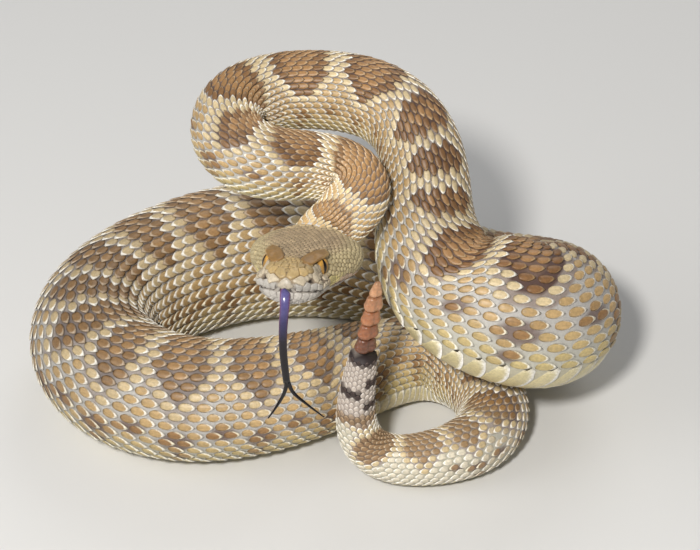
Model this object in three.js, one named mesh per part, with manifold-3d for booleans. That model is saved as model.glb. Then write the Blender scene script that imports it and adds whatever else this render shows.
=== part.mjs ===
// A western diamondback rattlesnake as a life-size still model: coiled on the ground, the
// forebody raised in an S over the coils, the tongue out and the rattle held upright.
// Millimetres, +Z up, the floor at z = 0, the snake faces -Y and its right loop lies towards +X.
//
// The body is one smooth route from the skull to the rattle with a radius at each point of it.
// Each named length of the body is a closed sweep along its own part of that route. The head
// is lofted in a frame of its own, then the sockets, pits, nostrils and mouth line are cut.
import * as THREE from "three";
import Module from "manifold-3d";
import { mergeVertices } from "three/addons/utils/BufferGeometryUtils.js";

const wasm = await Module();
wasm.setup();

// Driving dimensions of the body
const GAP = 0.3; // between the facing ends of neighbouring pieces
const BOX_CENTRE = [-7.6, -57]; // middle of the snake's bounding box in the route's own x and y
const BELLY = 0.92; // depth of the flat belly under the route, as a share of the radius
const SIDES = 24; // corners of one section of the body
const RING_STEP = 4; // between sections of the body
const ROUTE_STEP = 2; // between samples of the route
const EASING_PASSES = 12; // how often the sampled route is averaged with its neighbours
const INNER_BEND = 0.8; // how far the inner side of a tight bend reaches to the bend's centre
const INNER_EASE = 0.55; // share of that reach from where the flesh starts to give

// Driving dimensions of the head
const HEAD_BASE = [-9.45, -82.8, 74.3]; // where the skull meets the neck
const HEAD_YAW = 10.6; // degrees turned to the snake's right
const HEAD_PITCH = 22; // degrees raised
const HEAD_ROLL = 1.5; // degrees, the left side up
const HEAD_SIDES = 48;
const EYE_RADIUS = 3;
const EYE_PLACE = [5.4, 2, 25.3]; // sideways, up, forward from the base of the head
const MOUTH_LINE_WIDTH = 0.5;
const MOUTH_LINE_DEPTH = 0.8;
const MOUTH_CORNER = 9; // how far forward of the base the mouth line ends
const JAW_SQUARENESS = 2.15; // of the lower half of each section of the head

// Driving dimensions of the tongue and the rattle
const TONGUE_WIDTH = 2.7;
const TONGUE_THICKNESS = 1.0;
const RATTLE_SEGMENTS = 4;
const RATTLE_PITCH = 4.6;
const RATTLE_WIDTH = 6.4;
const RATTLE_THICKNESS = 4.6;

const OLIVE_TAN = 0x9a8766;
const CREAM = 0xc9bb95;
const FLANK_TAN = 0x8f7f66;
const PALE_GREY = 0xb9aa9e;
const HORN = 0x9b5a33;
const IRIS = 0xb98b3e;
const TONGUE_BLACK = 0x1d1a22;

// The route, from the skull to the rattle. A point is x, y, height and radius of the body; one
// that lies on the floor takes its height from its radius.
const raised = (x, y, z, r) => ({ x, y, z, r });
const lying = (x, y, r) => ({ x, y, z: BELLY * r, r });

const STRETCHES = [
  { // neck, bending back and to the left behind the head
    back: [0.1, -0.1, 1],
    points: [
      raised(-9.45, -82.8, 74.3, 7.2), raised(-9.2, -79, 73.6, 7.5), raised(-4.8, -75.2, 74.8, 7.8),
      raised(0.6, -71.8, 77.4, 8.3), raised(3.9, -67, 79.5, 8.6), raised(1.5, -61, 81, 8.9),
    ],
  },
  { // lower band and left end of the S
    back: [0, -0.25, 1],
    points: [
      raised(-5, -58.5, 82, 9.2), raised(-13, -60, 83.5, 9.7), raised(-21.5, -61.7, 85, 10.2),
      raised(-29.5, -58.5, 86.5, 10.5), raised(-33, -50, 88.8, 10.6), raised(-29.5, -41.7, 91, 10.7),
    ],
  },
  { // upper band
    back: [0.05, -0.3, 1],
    points: [
      raised(-20.5, -38, 92, 10.8), raised(-9, -37, 92, 11), raised(3, -38, 91, 11.1),
      raised(12.5, -41.8, 88.5, 11.1),
    ],
  },
  { // forebody falling to the right loop
    back: [0.45, -0.8, 0.4],
    points: [
      raised(18.6, -47.5, 82.5, 11.2), raised(20.5, -53.2, 74, 12), raised(20, -58.5, 64.5, 13.6),
      raised(22, -64, 55.5, 16.4),
    ],
  },
  { // right loop, held over the hind turn
    back: [0.1, -0.15, 1],
    points: [
      raised(29, -68.5, 48.5, 18.8), raised(40, -71, 44, 20), raised(50, -68, 39, 20.2),
      raised(55.6, -58, 32, 19.8), raised(54.3, -45.5, 25, 19), raised(47.5, -36, 20, 18.4),
    ],
  },
  { // rear arc and left bend, on the floor
    back: [0, 0, 1],
    points: [
      lying(36.5, -28, 17.8), lying(24.5, -21.5, 18.2), lying(11, -15.5, 19), lying(-7, -11.5, 20),
      lying(-27, -12, 20.4), lying(-45, -18.5, 20.2), lying(-60.5, -28.5, 19.6),
      lying(-70.5, -42, 19), lying(-71, -57.5, 18.4), lying(-61, -70.5, 18),
    ],
  },
  { // front coil, narrowing to the hind turn
    back: [0, 0, 1],
    points: [
      lying(-43.5, -76.3, 17.5), lying(-24, -73.2, 16.3), lying(-6, -64.5, 14.8),
      lying(9.5, -55.5, 13), lying(21.5, -52.3, 11.6), lying(31.5, -56.5, 10.8),
      lying(38, -65, 10.6), lying(40.5, -75, 10.2), lying(35.5, -85, 9.2),
    ],
  },
  { // tail, on the floor
    back: [0, 0, 1],
    points: [lying(24.5, -90, 8.2), lying(14.5, -91, 7.3), raised(6.5, -90, 8, 6.8)],
  },
  { // tail, rising to the rattle
    back: [0.6, -0.8, 0.1],
    points: [
      raised(2, -88.4, 13, 6.4), raised(1.4, -87.2, 20.5, 5.9), raised(2.2, -86.8, 31, 5.2),
      raised(3.8, -86.6, 42, 4.2),
    ],
  },
];

// The named lengths of the body, each from one point of the route to another, by number
const LENGTHS = [
  { name: "neck", from: 0, to: 6.4, colour: OLIVE_TAN },
  { name: "forebody_lower_band", from: 6.4, to: 9.5, colour: OLIVE_TAN },
  { name: "forebody_s_turn", from: 9.5, to: 12.3, colour: OLIVE_TAN },
  { name: "forebody_upper_band", from: 12.3, to: 15.5, colour: OLIVE_TAN },
  { name: "forebody_falling", from: 15.5, to: 19.3, colour: OLIVE_TAN },
  { name: "right_loop_front", from: 19.3, to: 22.1, colour: OLIVE_TAN },
  { name: "right_loop_turn", from: 22.1, to: 25.2, colour: OLIVE_TAN },
  { name: "back_branch", from: 25.2, to: 28.3, colour: FLANK_TAN },
  { name: "rear_arc_right", from: 28.3, to: 30.5, colour: FLANK_TAN },
  { name: "rear_arc_left", from: 30.5, to: 33, colour: FLANK_TAN },
  { name: "left_bend", from: 33, to: 35.5, colour: FLANK_TAN },
  { name: "front_coil_left", from: 35.5, to: 37.6, colour: FLANK_TAN },
  { name: "front_coil_right", from: 37.6, to: 39.7, colour: FLANK_TAN },
  { name: "hind_turn", from: 39.7, to: 43.2, colour: FLANK_TAN },
  { name: "tail_base", from: 43.2, to: 46.3, colour: CREAM },
  { name: "tail_rising", from: 46.3, to: 51, colour: PALE_GREY },
];

// Where one coil is pressed by another, the upper one gives way
const PRESSED_BY = {
  right_loop_front: ["hind_turn"],
  right_loop_turn: ["hind_turn", "front_coil_right"],
  back_branch: ["hind_turn", "front_coil_right"],
  rear_arc_right: ["front_coil_right"],
  forebody_lower_band: ["neck"],
  forebody_falling: ["neck", "forebody_lower_band"],
  forebody_upper_band: ["forebody_lower_band"],
  forebody_s_turn: ["forebody_lower_band"],
};

const lerp = THREE.MathUtils.lerp;

function sampleRoute() {
  const points = STRETCHES.flatMap((stretch) =>
    stretch.points.map((point) => ({ ...point, back: new THREE.Vector3(...stretch.back) })));
  const curve = new THREE.CatmullRomCurve3(points.map((p) => new THREE.Vector3(p.x, p.y, p.z)));
  curve.arcLengthDivisions = 3000;
  const count = Math.round(curve.getLength() / ROUTE_STEP);
  let samples = [];
  for (let i = 0; i <= count; i += 1) {
    const number = curve.getUtoTmapping(i / count) * (points.length - 1);
    const before = points[Math.floor(number)];
    const after = points[Math.min(Math.floor(number) + 1, points.length - 1)];
    const share = number - Math.floor(number);
    samples.push({
      number,
      place: curve.getPoint(number / (points.length - 1)),
      radius: lerp(before.r, after.r, share),
      back: before.back.clone().lerp(after.back, share),
    });
  }
  for (let pass = 0; pass < EASING_PASSES; pass += 1) {
    samples = samples.map((sample, i) => {
      if (i === 0 || i === count) return sample;
      const [a, b] = [samples[i - 1], samples[i + 1]];
      return {
        number: sample.number,
        place: a.place.clone().add(b.place).addScaledVector(sample.place, 2).divideScalar(4),
        radius: (a.radius + 2 * sample.radius + b.radius) / 4,
        back: a.back.clone().add(b.back).addScaledVector(sample.back, 2).divideScalar(4),
      };
    });
  }
  return samples;
}

const route = sampleRoute();

function along(index, key) {
  const i = Math.min(Math.floor(index), route.length - 2);
  const share = index - i;
  const [a, b] = [route[i][key], route[i + 1][key]];
  return typeof a === "number" ? lerp(a, b, share) : a.clone().lerp(b, share);
}

function directionAt(index) {
  const last = route.length - 1;
  const ahead = along(Math.min(index + 1, last), "place");
  return ahead.sub(along(Math.max(index - 1, 0), "place")).normalize();
}

// The frame of the body at one place of the route, with the way and tightness of its bend
function stationAt(index) {
  const ahead = directionAt(index);
  const back = along(index, "back").addScaledVector(ahead, -along(index, "back").dot(ahead)).normalize();
  const last = route.length - 1;
  const [low, high] = [Math.max(index - 1.5, 0), Math.min(index + 1.5, last)];
  const bend = directionAt(high).sub(directionAt(low)).divideScalar((high - low) * ROUTE_STEP);
  bend.addScaledVector(ahead, -bend.dot(ahead));
  return {
    place: along(index, "place"),
    radius: along(index, "radius"),
    ahead,
    back,
    side: new THREE.Vector3().crossVectors(back, ahead),
    bend,
  };
}

// One corner of a section: round, with a flat belly, and pressed in on the inner side of a bend
function skinPoint(station, angle, extra) {
  const radius = station.radius + extra;
  const up = Math.max(-BELLY * station.radius - extra, radius * Math.cos(angle));
  const offset = station.back.clone().multiplyScalar(up);
  offset.addScaledVector(station.side, radius * Math.sin(angle));
  const tightness = station.bend.length();
  if (tightness > 1e-4) {
    const inward = station.bend.clone().divideScalar(tightness);
    const reach = offset.dot(inward);
    const limit = INNER_BEND / tightness;
    const start = INNER_EASE * limit;
    if (reach > start) {
      const eased = start + (limit - start) * Math.tanh((reach - start) / (limit - start));
      offset.addScaledVector(inward, eased - reach);
    }
  }
  const point = station.place.clone().add(offset);
  if (point.z < 0) point.z = 0;
  return point;
}

// A closed surface through rings of corners, each ring turning the same way, with flat ends
function closeRings(rings) {
  const sides = rings[0].length;
  const corners = rings.flat();
  const faces = [];
  for (let r = 0; r + 1 < rings.length; r += 1) {
    for (let i = 0; i < sides; i += 1) {
      const j = (i + 1) % sides;
      const [a, b] = [r * sides + i, r * sides + j];
      faces.push([a, b, b + sides], [a, b + sides, a + sides]);
    }
  }
  for (const [ring, first] of [[rings[0], 0], [rings.at(-1), (rings.length - 1) * sides]]) {
    const middle = new THREE.Vector3();
    ring.forEach((corner) => middle.addScaledVector(corner, 1 / sides));
    corners.push(middle);
    for (let i = 0; i < sides; i += 1) {
      const face = [corners.length - 1, first + i, first + ((i + 1) % sides)];
      faces.push(first === 0 ? face.toReversed() : face);
    }
  }
  const geometry = new THREE.BufferGeometry();
  geometry.setAttribute("position", new THREE.Float32BufferAttribute(corners.flatMap((c) => c.toArray()), 3));
  geometry.setIndex(faces.flat());
  return facingOut(geometry);
}

function volumeOf(geometry) {
  const at = geometry.getAttribute("position");
  const index = geometry.getIndex();
  const [a, b, c] = [new THREE.Vector3(), new THREE.Vector3(), new THREE.Vector3()];
  let volume = 0;
  for (let i = 0; i < index.count; i += 3) {
    a.fromBufferAttribute(at, index.getX(i));
    b.fromBufferAttribute(at, index.getX(i + 1));
    c.fromBufferAttribute(at, index.getX(i + 2));
    volume += a.dot(b.cross(c)) / 6;
  }
  return volume;
}

function facingOut(geometry) {
  if (volumeOf(geometry) < 0) {
    const index = geometry.getIndex();
    for (let i = 0; i < index.count; i += 3) {
      const first = index.getX(i);
      index.setX(i, index.getX(i + 1));
      index.setX(i + 1, first);
    }
  }
  return geometry;
}

// Solids for cutting and joining
function solidFrom(geometry) {
  const bare = geometry.clone();
  bare.deleteAttribute("normal");
  bare.deleteAttribute("uv");
  const merged = mergeVertices(bare, 1e-5);
  return new wasm.Manifold(new wasm.Mesh({
    numProp: 3,
    vertProperties: new Float32Array(merged.getAttribute("position").array),
    triVerts: new Uint32Array(merged.getIndex().array),
  }));
}

function geometryFrom(solid) {
  const largest = solid.decompose().sort((a, b) => b.volume() - a.volume())[0];
  const mesh = largest.getMesh();
  const geometry = new THREE.BufferGeometry();
  geometry.setAttribute("position", new THREE.Float32BufferAttribute(mesh.vertProperties, 3));
  geometry.setIndex([...mesh.triVerts]);
  return geometry;
}

function indexOfNumber(number) {
  const i = Math.max(1, route.findIndex((sample) => sample.number >= number - 1e-9));
  const [a, b] = [route[i - 1].number, route[i].number];
  return i - 1 + (number - a) / (b - a);
}

function bodyLength({ from, to }, extra = 0) {
  const end = (GAP / 2 - extra) / ROUTE_STEP;
  const start = Math.max(0, indexOfNumber(from) + end);
  const stop = Math.min(route.length - 1, indexOfNumber(to) - end);
  const count = Math.max(3, Math.round(((stop - start) * ROUTE_STEP) / RING_STEP));
  const rings = [];
  for (let k = 0; k <= count; k += 1) {
    const station = stationAt(lerp(start, stop, k / count));
    rings.push(Array.from({ length: SIDES }, (_, i) => skinPoint(station, (2 * Math.PI * i) / SIDES, extra)));
  }
  return closeRings(rings);
}

function pressedLength(length) {
  const geometry = bodyLength(length);
  const others = PRESSED_BY[length.name];
  if (!others) return geometry;
  const solid = others.reduce((rest, name) => {
    const other = LENGTHS.find((candidate) => candidate.name === name);
    return rest.subtract(solidFrom(bodyLength(other, GAP)));
  }, solidFrom(geometry));
  return geometryFrom(solid);
}

// Frame of the head: x to the snake's left, y up, z forward along the head
function headFrame() {
  const yaw = THREE.MathUtils.degToRad(HEAD_YAW);
  const pitch = THREE.MathUtils.degToRad(HEAD_PITCH);
  const forward = new THREE.Vector3(
    -Math.cos(pitch) * Math.sin(yaw), -Math.cos(pitch) * Math.cos(yaw), Math.sin(pitch));
  const left = new THREE.Vector3(Math.cos(yaw), -Math.sin(yaw), 0);
  left.applyAxisAngle(forward, THREE.MathUtils.degToRad(HEAD_ROLL));
  const up = new THREE.Vector3().crossVectors(forward, left);
  return new THREE.Matrix4().makeBasis(left, up, forward).setPosition(...HEAD_BASE);
}

const HEAD_FRAME = headFrame();

// Sections of the head, from the neck to the snout: how far forward, half width, height above
// and depth below the middle, and how square the section is
const HEAD_SECTIONS = [
  [0, 7.6, 6.6, 6.6, 2], [1.2, 10.4, 6.4, 6.8, 2], [3, 13.1, 6.1, 7, 2.1],
  [6, 14.2, 5.9, 7.2, 2.2], [11, 14.1, 6, 7.3, 2.3], [15, 13.2, 6.2, 7.3, 2.4],
  [19, 11.8, 5.9, 7.2, 2.6], [22, 10.7, 5.6, 7, 2.8], [25, 10.2, 5.3, 6.9, 2.9],
  [28, 9.8, 5, 6.7, 3], [31, 9.1, 4.6, 6.5, 3], [34, 7.6, 4, 6.1, 2.8],
  [36, 5.3, 3, 5.2, 2.5], [37.1, 3.2, 2, 3.6, 2.2], [37.6, 1, 0.7, 1.2, 2],
];
const SNOUT = HEAD_SECTIONS.at(-1)[0];

// Soft swellings and hollows on both sides of the head: middle, reach each way and height
const HEAD_SWELLS = [
  [[5.8, 5, 25.4], [2.6, 1.8, 4.6], 0.45], // brow
  [[12.6, -0.4, 11.5], [3.5, 3.5, 6], 0.5], // venom gland
  [[8.8, 1.5, 25.4], [3, 2.9, 3], -2], // round the eye
  [[8.2, 1.6, 29.6], [3, 2.3, 2.6], -0.9], // between the eye and the nostril
];

function headSection(forward) {
  const next = Math.max(1, HEAD_SECTIONS.findIndex((row) => row[0] >= forward));
  const rows = [next - 2, next - 1, next, next + 1].map((i) =>
    HEAD_SECTIONS[THREE.MathUtils.clamp(i, 0, HEAD_SECTIONS.length - 1)]);
  const share = (forward - rows[1][0]) / (rows[2][0] - rows[1][0]);
  return rows[1].map((value, k) => {
    const slopeIn = (rows[2][k] - rows[0][k]) / Math.max(rows[2][0] - rows[0][0], 1e-6);
    const slopeOut = (rows[3][k] - rows[1][k]) / Math.max(rows[3][0] - rows[1][0], 1e-6);
    const span = rows[2][0] - rows[1][0];
    const t = share;
    return value * (2 * t ** 3 - 3 * t ** 2 + 1) + slopeIn * span * (t ** 3 - 2 * t ** 2 + t)
      + rows[2][k] * (3 * t ** 2 - 2 * t ** 3) + slopeOut * span * (t ** 3 - t ** 2);
  });
}

const bowed = (value, power) => Math.sign(value) * Math.abs(value) ** (2 / power);

function swellingAt(point) {
  const side = point.x < 0 ? -1 : 1;
  return HEAD_SWELLS.reduce((sum, [middle, reach, height]) => {
    const away = new THREE.Vector3(side * point.x, point.y, point.z)
      .sub(new THREE.Vector3(...middle)).divide(new THREE.Vector3(...reach));
    return sum + height * Math.exp(-away.lengthSq());
  }, 0);
}

function headRing(forward, angles) {
  const [, half, above, below, square] = headSection(forward);
  const taper = 0.2 * THREE.MathUtils.smoothstep(forward, 10, 22)
    + 0.08 * THREE.MathUtils.smoothstep(forward, 20, 28);
  return angles.map((angle) => {
    const power = Math.cos(angle) > 0 ? square : JAW_SQUARENESS;
    const up = bowed(Math.cos(angle), power);
    const across = half * bowed(Math.sin(angle), power) * (1 - taper * Math.max(up, 0));
    const point = new THREE.Vector3(across, up * (up > 0 ? above : below), forward);
    const out = new THREE.Vector3(across / half ** 2, point.y / Math.max(above, 1) ** 2, 0);
    return point.addScaledVector(out.normalize(), swellingAt(point));
  });
}

function headLoft() {
  const angles = Array.from({ length: HEAD_SIDES }, (_, i) => (2 * Math.PI * i) / HEAD_SIDES);
  const stops = [GAP / 2, 1.2, 2.4, 4, 6.5, 9, 12, 15, 18, 20, 22, 23.5, 25, 26.5, 28, 29.5, 31,
    32.5, 34, 35.2, 36.2, 36.9, 37.3, SNOUT];
  return closeRings(stops.map((forward) => headRing(forward, angles)));
}

function ball(radii, place, turn = [0, 0, 0], detail = 2) {
  const geometry = mergeVertices(stripped(new THREE.IcosahedronGeometry(1, detail)), 1e-5);
  const matrix = new THREE.Matrix4().compose(
    new THREE.Vector3(...place),
    new THREE.Quaternion().setFromEuler(new THREE.Euler(...turn)),
    new THREE.Vector3(...radii));
  return geometry.applyMatrix4(matrix);
}

function stripped(geometry) {
  geometry.deleteAttribute("normal");
  geometry.deleteAttribute("uv");
  return geometry;
}

// The mouth line: a thin band through the surface, from one corner of the mouth round the snout
function lipHeight(forward) {
  return -4.1 + 0.3 * THREE.MathUtils.smoothstep(forward, MOUTH_CORNER, 22)
    + 2.2 * THREE.MathUtils.smoothstep(forward, 28, 38);
}

function lipPoint(forward) {
  const [, half, , below] = headSection(forward);
  const depth = Math.min(0.95, -lipHeight(forward) / below);
  const across = (1 - (depth ** JAW_SQUARENESS)) ** (1 / JAW_SQUARENESS);
  return new THREE.Vector3(half * across, lipHeight(forward), forward);
}

function mouthLine() {
  const stops = [MOUTH_CORNER, 12, 15, 18, 21, 24, 27, 30, 32.5, 34.4, 35.8, 36.8, SNOUT - 0.2];
  const leftSide = stops.map(lipPoint);
  const front = new THREE.Vector3(0, lipHeight(SNOUT), SNOUT + 0.1);
  const mirrored = leftSide.map((p) => new THREE.Vector3(-p.x, p.y, p.z)).reverse();
  const path = [...leftSide, front, ...mirrored];
  const up = new THREE.Vector3(0, 1, 0);
  const rings = path.map((point, i) => {
    const ahead = path[Math.min(i + 1, path.length - 1)].clone().sub(path[Math.max(i - 1, 0)]);
    const out = new THREE.Vector3().crossVectors(ahead, up).normalize();
    if (out.dot(new THREE.Vector3(point.x, 0, point.z - MOUTH_CORNER)) < 0) out.negate();
    return [[-MOUTH_LINE_DEPTH, -1], [1.2, -1], [1.2, 1], [-MOUTH_LINE_DEPTH, 1]].map(([reach, side]) =>
      point.clone().addScaledVector(out, reach).addScaledVector(up, (side * MOUTH_LINE_WIDTH) / 2));
  });
  return closeRings(rings);
}

// The tongue: a flat tapering strap and two fine tines, drooping from the notch in the upper lip
const TONGUE_ROOT = [-15.5, -115.2, 85.9];
const TONGUE_STRAP = [
  [0, 0, 0], [-0.4, -3.2, 0.7], [-0.5, -5.2, -1.3], [-0.9, -6.1, -6.4], [-1.1, -5.8, -14.9],
  [-0.4, -4.8, -26.4],
];
const TONGUE_TINES = [
  [[-0.2, -4.7, -25.8], [-1.1, -5, -29.8], [-3.2, -5.8, -33.8], [-5.2, -6.6, -36.7]],
  [[-0.2, -4.7, -25.8], [1.2, -5, -29.5], [4.8, -5.8, -32.9], [9, -6.7, -36.3]],
];

function strap(offsets, widths, extra = 0) {
  const root = new THREE.Vector3(...TONGUE_ROOT);
  const curve = new THREE.CatmullRomCurve3(offsets.map((p) => new THREE.Vector3(...p).add(root)));
  const rings = [];
  const count = 12;
  for (let k = 0; k <= count; k += 1) {
    const t = k / count;
    const ahead = curve.getTangent(t);
    const across = new THREE.Vector3(1, 0, 0).addScaledVector(ahead, -ahead.x).normalize();
    const face = new THREE.Vector3().crossVectors(across, ahead);
    const half = lerp(widths[0], widths[1], t) / 2 + extra;
    const thick = Math.min(half, TONGUE_THICKNESS / 2 + extra);
    rings.push(Array.from({ length: 8 }, (_, i) => {
      const angle = (2 * Math.PI * i) / 8;
      return curve.getPoint(t).addScaledVector(across, half * Math.cos(angle))
        .addScaledVector(face, thick * Math.sin(angle));
    }));
  }
  return solidFrom(closeRings(rings));
}

function tongueSolid(extra = 0) {
  const tines = TONGUE_TINES.map((offsets) => strap(offsets, [TONGUE_WIDTH * 0.46, 0.6], extra));
  return strap(TONGUE_STRAP, [TONGUE_WIDTH, TONGUE_WIDTH * 0.66], extra).add(tines[0]).add(tines[1]);
}

const inHead = (place, side) => [side * place[0], place[1], place[2]];

function headSolid() {
  let head = solidFrom(headLoft());
  for (const side of [-1, 1]) {
    const brow = ball([2.1, 1, 4.8], inHead([4.9, 4.5, 26.4], side), [0.06, side * -0.34, side * -0.2]);
    head = head.add(solidFrom(brow));
    const socket = EYE_RADIUS + GAP;
    head = head.subtract(solidFrom(ball([socket, socket, socket], inHead(EYE_PLACE, side))));
    head = head.subtract(solidFrom(ball([1.1, 0.8, 0.9], inHead([7.5, -0.3, 30.8], side), [0, 0, 0], 1)));
    head = head.subtract(solidFrom(ball([1.0, 0.7, 0.7], inHead([6.1, 0.7, 34.6], side), [0, 0, 0], 1)));
  }
  const neck = solidFrom(bodyLength(LENGTHS[0], GAP));
  return head.subtract(solidFrom(mouthLine())).subtract(solidInHead(tongueSolid(GAP)))
    .subtract(solidInHead(neck));
}

function solidInHead(solid) {
  return solidFrom(geometryFrom(solid).applyMatrix4(HEAD_FRAME.clone().invert()));
}

// The rattle: horny rings, each a bulging bell with a waist, the last one worn and narrow
function rattleSegment(number) {
  const base = route.at(-1);
  const ahead = directionAt(route.length - 1);
  const across = new THREE.Vector3(1, 0, 0).addScaledVector(ahead, -ahead.x).normalize();
  const face = new THREE.Vector3().crossVectors(across, ahead);
  const worn = number === RATTLE_SEGMENTS;
  const size = worn ? 0.66 : 1 - 0.05 * number;
  const bell = [[0, 0.72], [0.12, 0.9], [0.3, 1], [0.55, 0.96], [0.75, 0.82], [1, 0.72]];
  const pitch = (worn ? 1.05 : 1) * RATTLE_PITCH;
  const start = GAP + number * RATTLE_PITCH;
  const rings = bell.map(([share, wide]) => {
    const middle = base.place.clone().addScaledVector(ahead, start + share * (pitch - GAP));
    const tip = worn ? 1 - 0.45 * share : 1;
    return Array.from({ length: 16 }, (_, i) => {
      const angle = (2 * Math.PI * i) / 16;
      const groove = 1 - 0.1 * Math.max(0, Math.abs(Math.sin(angle)) - 0.8) / 0.2;
      return middle.clone()
        .addScaledVector(across, (RATTLE_WIDTH / 2) * size * wide * tip * Math.cos(angle))
        .addScaledVector(face, (RATTLE_THICKNESS / 2) * size * wide * tip * groove * Math.sin(angle));
    });
  });
  return closeRings(rings);
}

const snake = new THREE.Group();
snake.name = "rattlesnake";
snake.position.set(-BOX_CENTRE[0], -BOX_CENTRE[1], 0);

function addPiece(parent, name, geometry, colour, roughness) {
  geometry.computeVertexNormals();
  const mesh = new THREE.Mesh(geometry, new THREE.MeshStandardMaterial({ color: colour, roughness, metalness: 0 }));
  mesh.name = name;
  parent.add(mesh);
}

for (const length of LENGTHS) {
  addPiece(snake, length.name, pressedLength(length), length.colour, 0.62);
}

const head = new THREE.Group();
head.applyMatrix4(HEAD_FRAME);
snake.add(head);
addPiece(head, "head", geometryFrom(headSolid()), OLIVE_TAN, 0.6);
for (const [name, side] of [["eye_left", 1], ["eye_right", -1]]) {
  addPiece(head, name, ball(Array(3).fill(EYE_RADIUS), inHead(EYE_PLACE, side)), IRIS, 0.12);
}

addPiece(snake, "tongue", geometryFrom(tongueSolid()), TONGUE_BLACK, 0.35);
for (let number = 0; number <= RATTLE_SEGMENTS; number += 1) {
  addPiece(snake, `rattle_${number + 1}`, rattleSegment(number), HORN, 0.3);
}

export default snake;
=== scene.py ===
# %% [markdown]
# # A coiled rattlesnake
# This lesson dresses the solid model of a western diamondback rattlesnake, coiled, with the
# forebody raised in an S, the tongue out and the rattle held up. The solids are the frame: they
# say where the head, the body, the tongue and the rattle are. One skin is swept along the same
# route as the solids, and thousands of keeled scales are laid over it, each one a small mesh.

# %% Setup
import math
from functools import partial
import bpy
import bmesh
import numpy as np
from mathutils import Matrix, Vector, noise
from mathutils.bvhtree import BVHTree
from mathutils.kdtree import KDTree


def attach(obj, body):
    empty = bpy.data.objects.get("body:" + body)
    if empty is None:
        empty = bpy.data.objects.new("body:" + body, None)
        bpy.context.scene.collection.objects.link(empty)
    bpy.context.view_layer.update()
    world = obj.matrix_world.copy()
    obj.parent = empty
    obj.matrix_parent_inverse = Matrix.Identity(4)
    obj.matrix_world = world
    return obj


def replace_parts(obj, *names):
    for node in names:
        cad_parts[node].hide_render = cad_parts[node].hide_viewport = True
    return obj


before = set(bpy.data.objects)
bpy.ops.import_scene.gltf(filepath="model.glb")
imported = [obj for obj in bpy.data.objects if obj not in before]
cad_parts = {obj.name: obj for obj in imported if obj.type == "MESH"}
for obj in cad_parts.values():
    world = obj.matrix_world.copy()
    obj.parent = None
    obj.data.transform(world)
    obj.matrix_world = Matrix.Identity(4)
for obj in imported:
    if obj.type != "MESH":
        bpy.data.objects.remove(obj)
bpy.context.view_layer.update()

MM = 0.001
rng = np.random.default_rng(7)
print("solids:", len(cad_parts))

# %% [markdown]
# ## Camera, floor and light
# The photograph looks down on the snake from in front at about 38 degrees, from less than a metre
# away, so the raised head is a little larger than the coils behind it. A long lens at that
# distance repeats the view. The floor is a plain pale sheet. The light is one large soft lamp
# close above the camera, as a flash is, with weak ones to fill the shadows.

# %% Camera, floor and light
PHOTO_WIDTH = 700
TARGET = Vector((7.6, 57.0, 0.0)) * MM
ELEVATION = math.radians(38.0)
DISTANCE = 800.0 * MM
PIXELS_PER_MM = 3.33


def aim(thing, place, target):
    """Turns a camera or a lamp at a place towards a target."""
    turn = (target - place).to_track_quat("-Z", "Y")
    thing.matrix_world = Matrix.Translation(place) @ turn.to_matrix().to_4x4()


def make_camera():
    data = bpy.data.cameras.new("camera")
    data.sensor_width = 36.0
    data.lens = PIXELS_PER_MM * DISTANCE / MM / PHOTO_WIDTH * data.sensor_width
    data.clip_start, data.clip_end = 0.01, 20.0
    camera = bpy.data.objects.new("camera", data)
    bpy.context.scene.collection.objects.link(camera)
    place = TARGET + DISTANCE * Vector((0, -math.cos(ELEVATION), math.sin(ELEVATION)))
    aim(camera, place, TARGET)
    bpy.context.scene.camera = camera
    return camera


def make_lamp(name, place, size, power, tint=(1, 1, 1)):
    data = bpy.data.lights.new(name, "AREA")
    data.shape, data.size, data.energy, data.color = "DISK", size, power, tint
    lamp = bpy.data.objects.new(name, data)
    bpy.context.scene.collection.objects.link(lamp)
    aim(lamp, Vector(place), TARGET)


camera = make_camera()
make_lamp("key", (-0.14, -0.62, 0.68), 0.10, 8.0, (1.0, 0.985, 0.96))
make_lamp("fill_left", (-0.8, -0.2, 0.55), 0.7, 3.0, (0.95, 0.97, 1.0))
make_lamp("fill_back", (0.3, 0.9, 0.8), 0.8, 3.5)
world = bpy.data.worlds.new("studio")
world.use_nodes = True
sky = world.node_tree.nodes["Background"].inputs
sky["Color"].default_value = (0.80, 0.82, 0.85, 1)
sky["Strength"].default_value = 0.32
bpy.context.scene.world = world
print("camera:", round(camera.data.lens), "mm lens")

# %% [markdown]
# ## Colours and materials
# Every colour of the snake is painted on its meshes as attributes, worked out from the place
# along and round the body. The skin carries one called tone, and each scale the colours of its
# middle and its rim. The skin's material only reads its tone and adds the fine grain of the horn.

# %% Colours and materials
def paint(code):
    """An sRGB colour code as linear red, green and blue."""
    values = np.array([int(code[i:i + 2], 16) / 255.0 for i in (1, 3, 5)])
    return np.where(values <= 0.04045, values / 12.92, ((values + 0.055) / 1.055) ** 2.4)


def new_material(name):
    material = bpy.data.materials.new(name)
    material.use_nodes = True
    nodes, links = material.node_tree.nodes, material.node_tree.links
    return material, nodes, links, nodes["Principled BSDF"]


def set_numbers(node, numbers):
    """Gives a node's sockets their constant numbers."""
    for label, number in numbers.items():
        node.inputs[label].default_value = number


def add_attribute(nodes, label):
    node = nodes.new("ShaderNodeAttribute")
    node.attribute_name = label
    return node


def add_noise(nodes, links, place, scale, detail):
    node = nodes.new("ShaderNodeTexNoise")
    set_numbers(node, {"Scale": scale, "Detail": detail})
    links.new(place, node.inputs["Vector"])
    return node


def add_range(nodes, links, value, low, high, first, last, kind="LINEAR"):
    """A number moved from one range to another and held at its ends."""
    node = nodes.new("ShaderNodeMapRange")
    node.interpolation_type = kind
    set_numbers(node, {"From Min": low, "From Max": high, "To Min": first, "To Max": last})
    links.new(value, node.inputs["Value"])
    return node.outputs["Result"]


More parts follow.
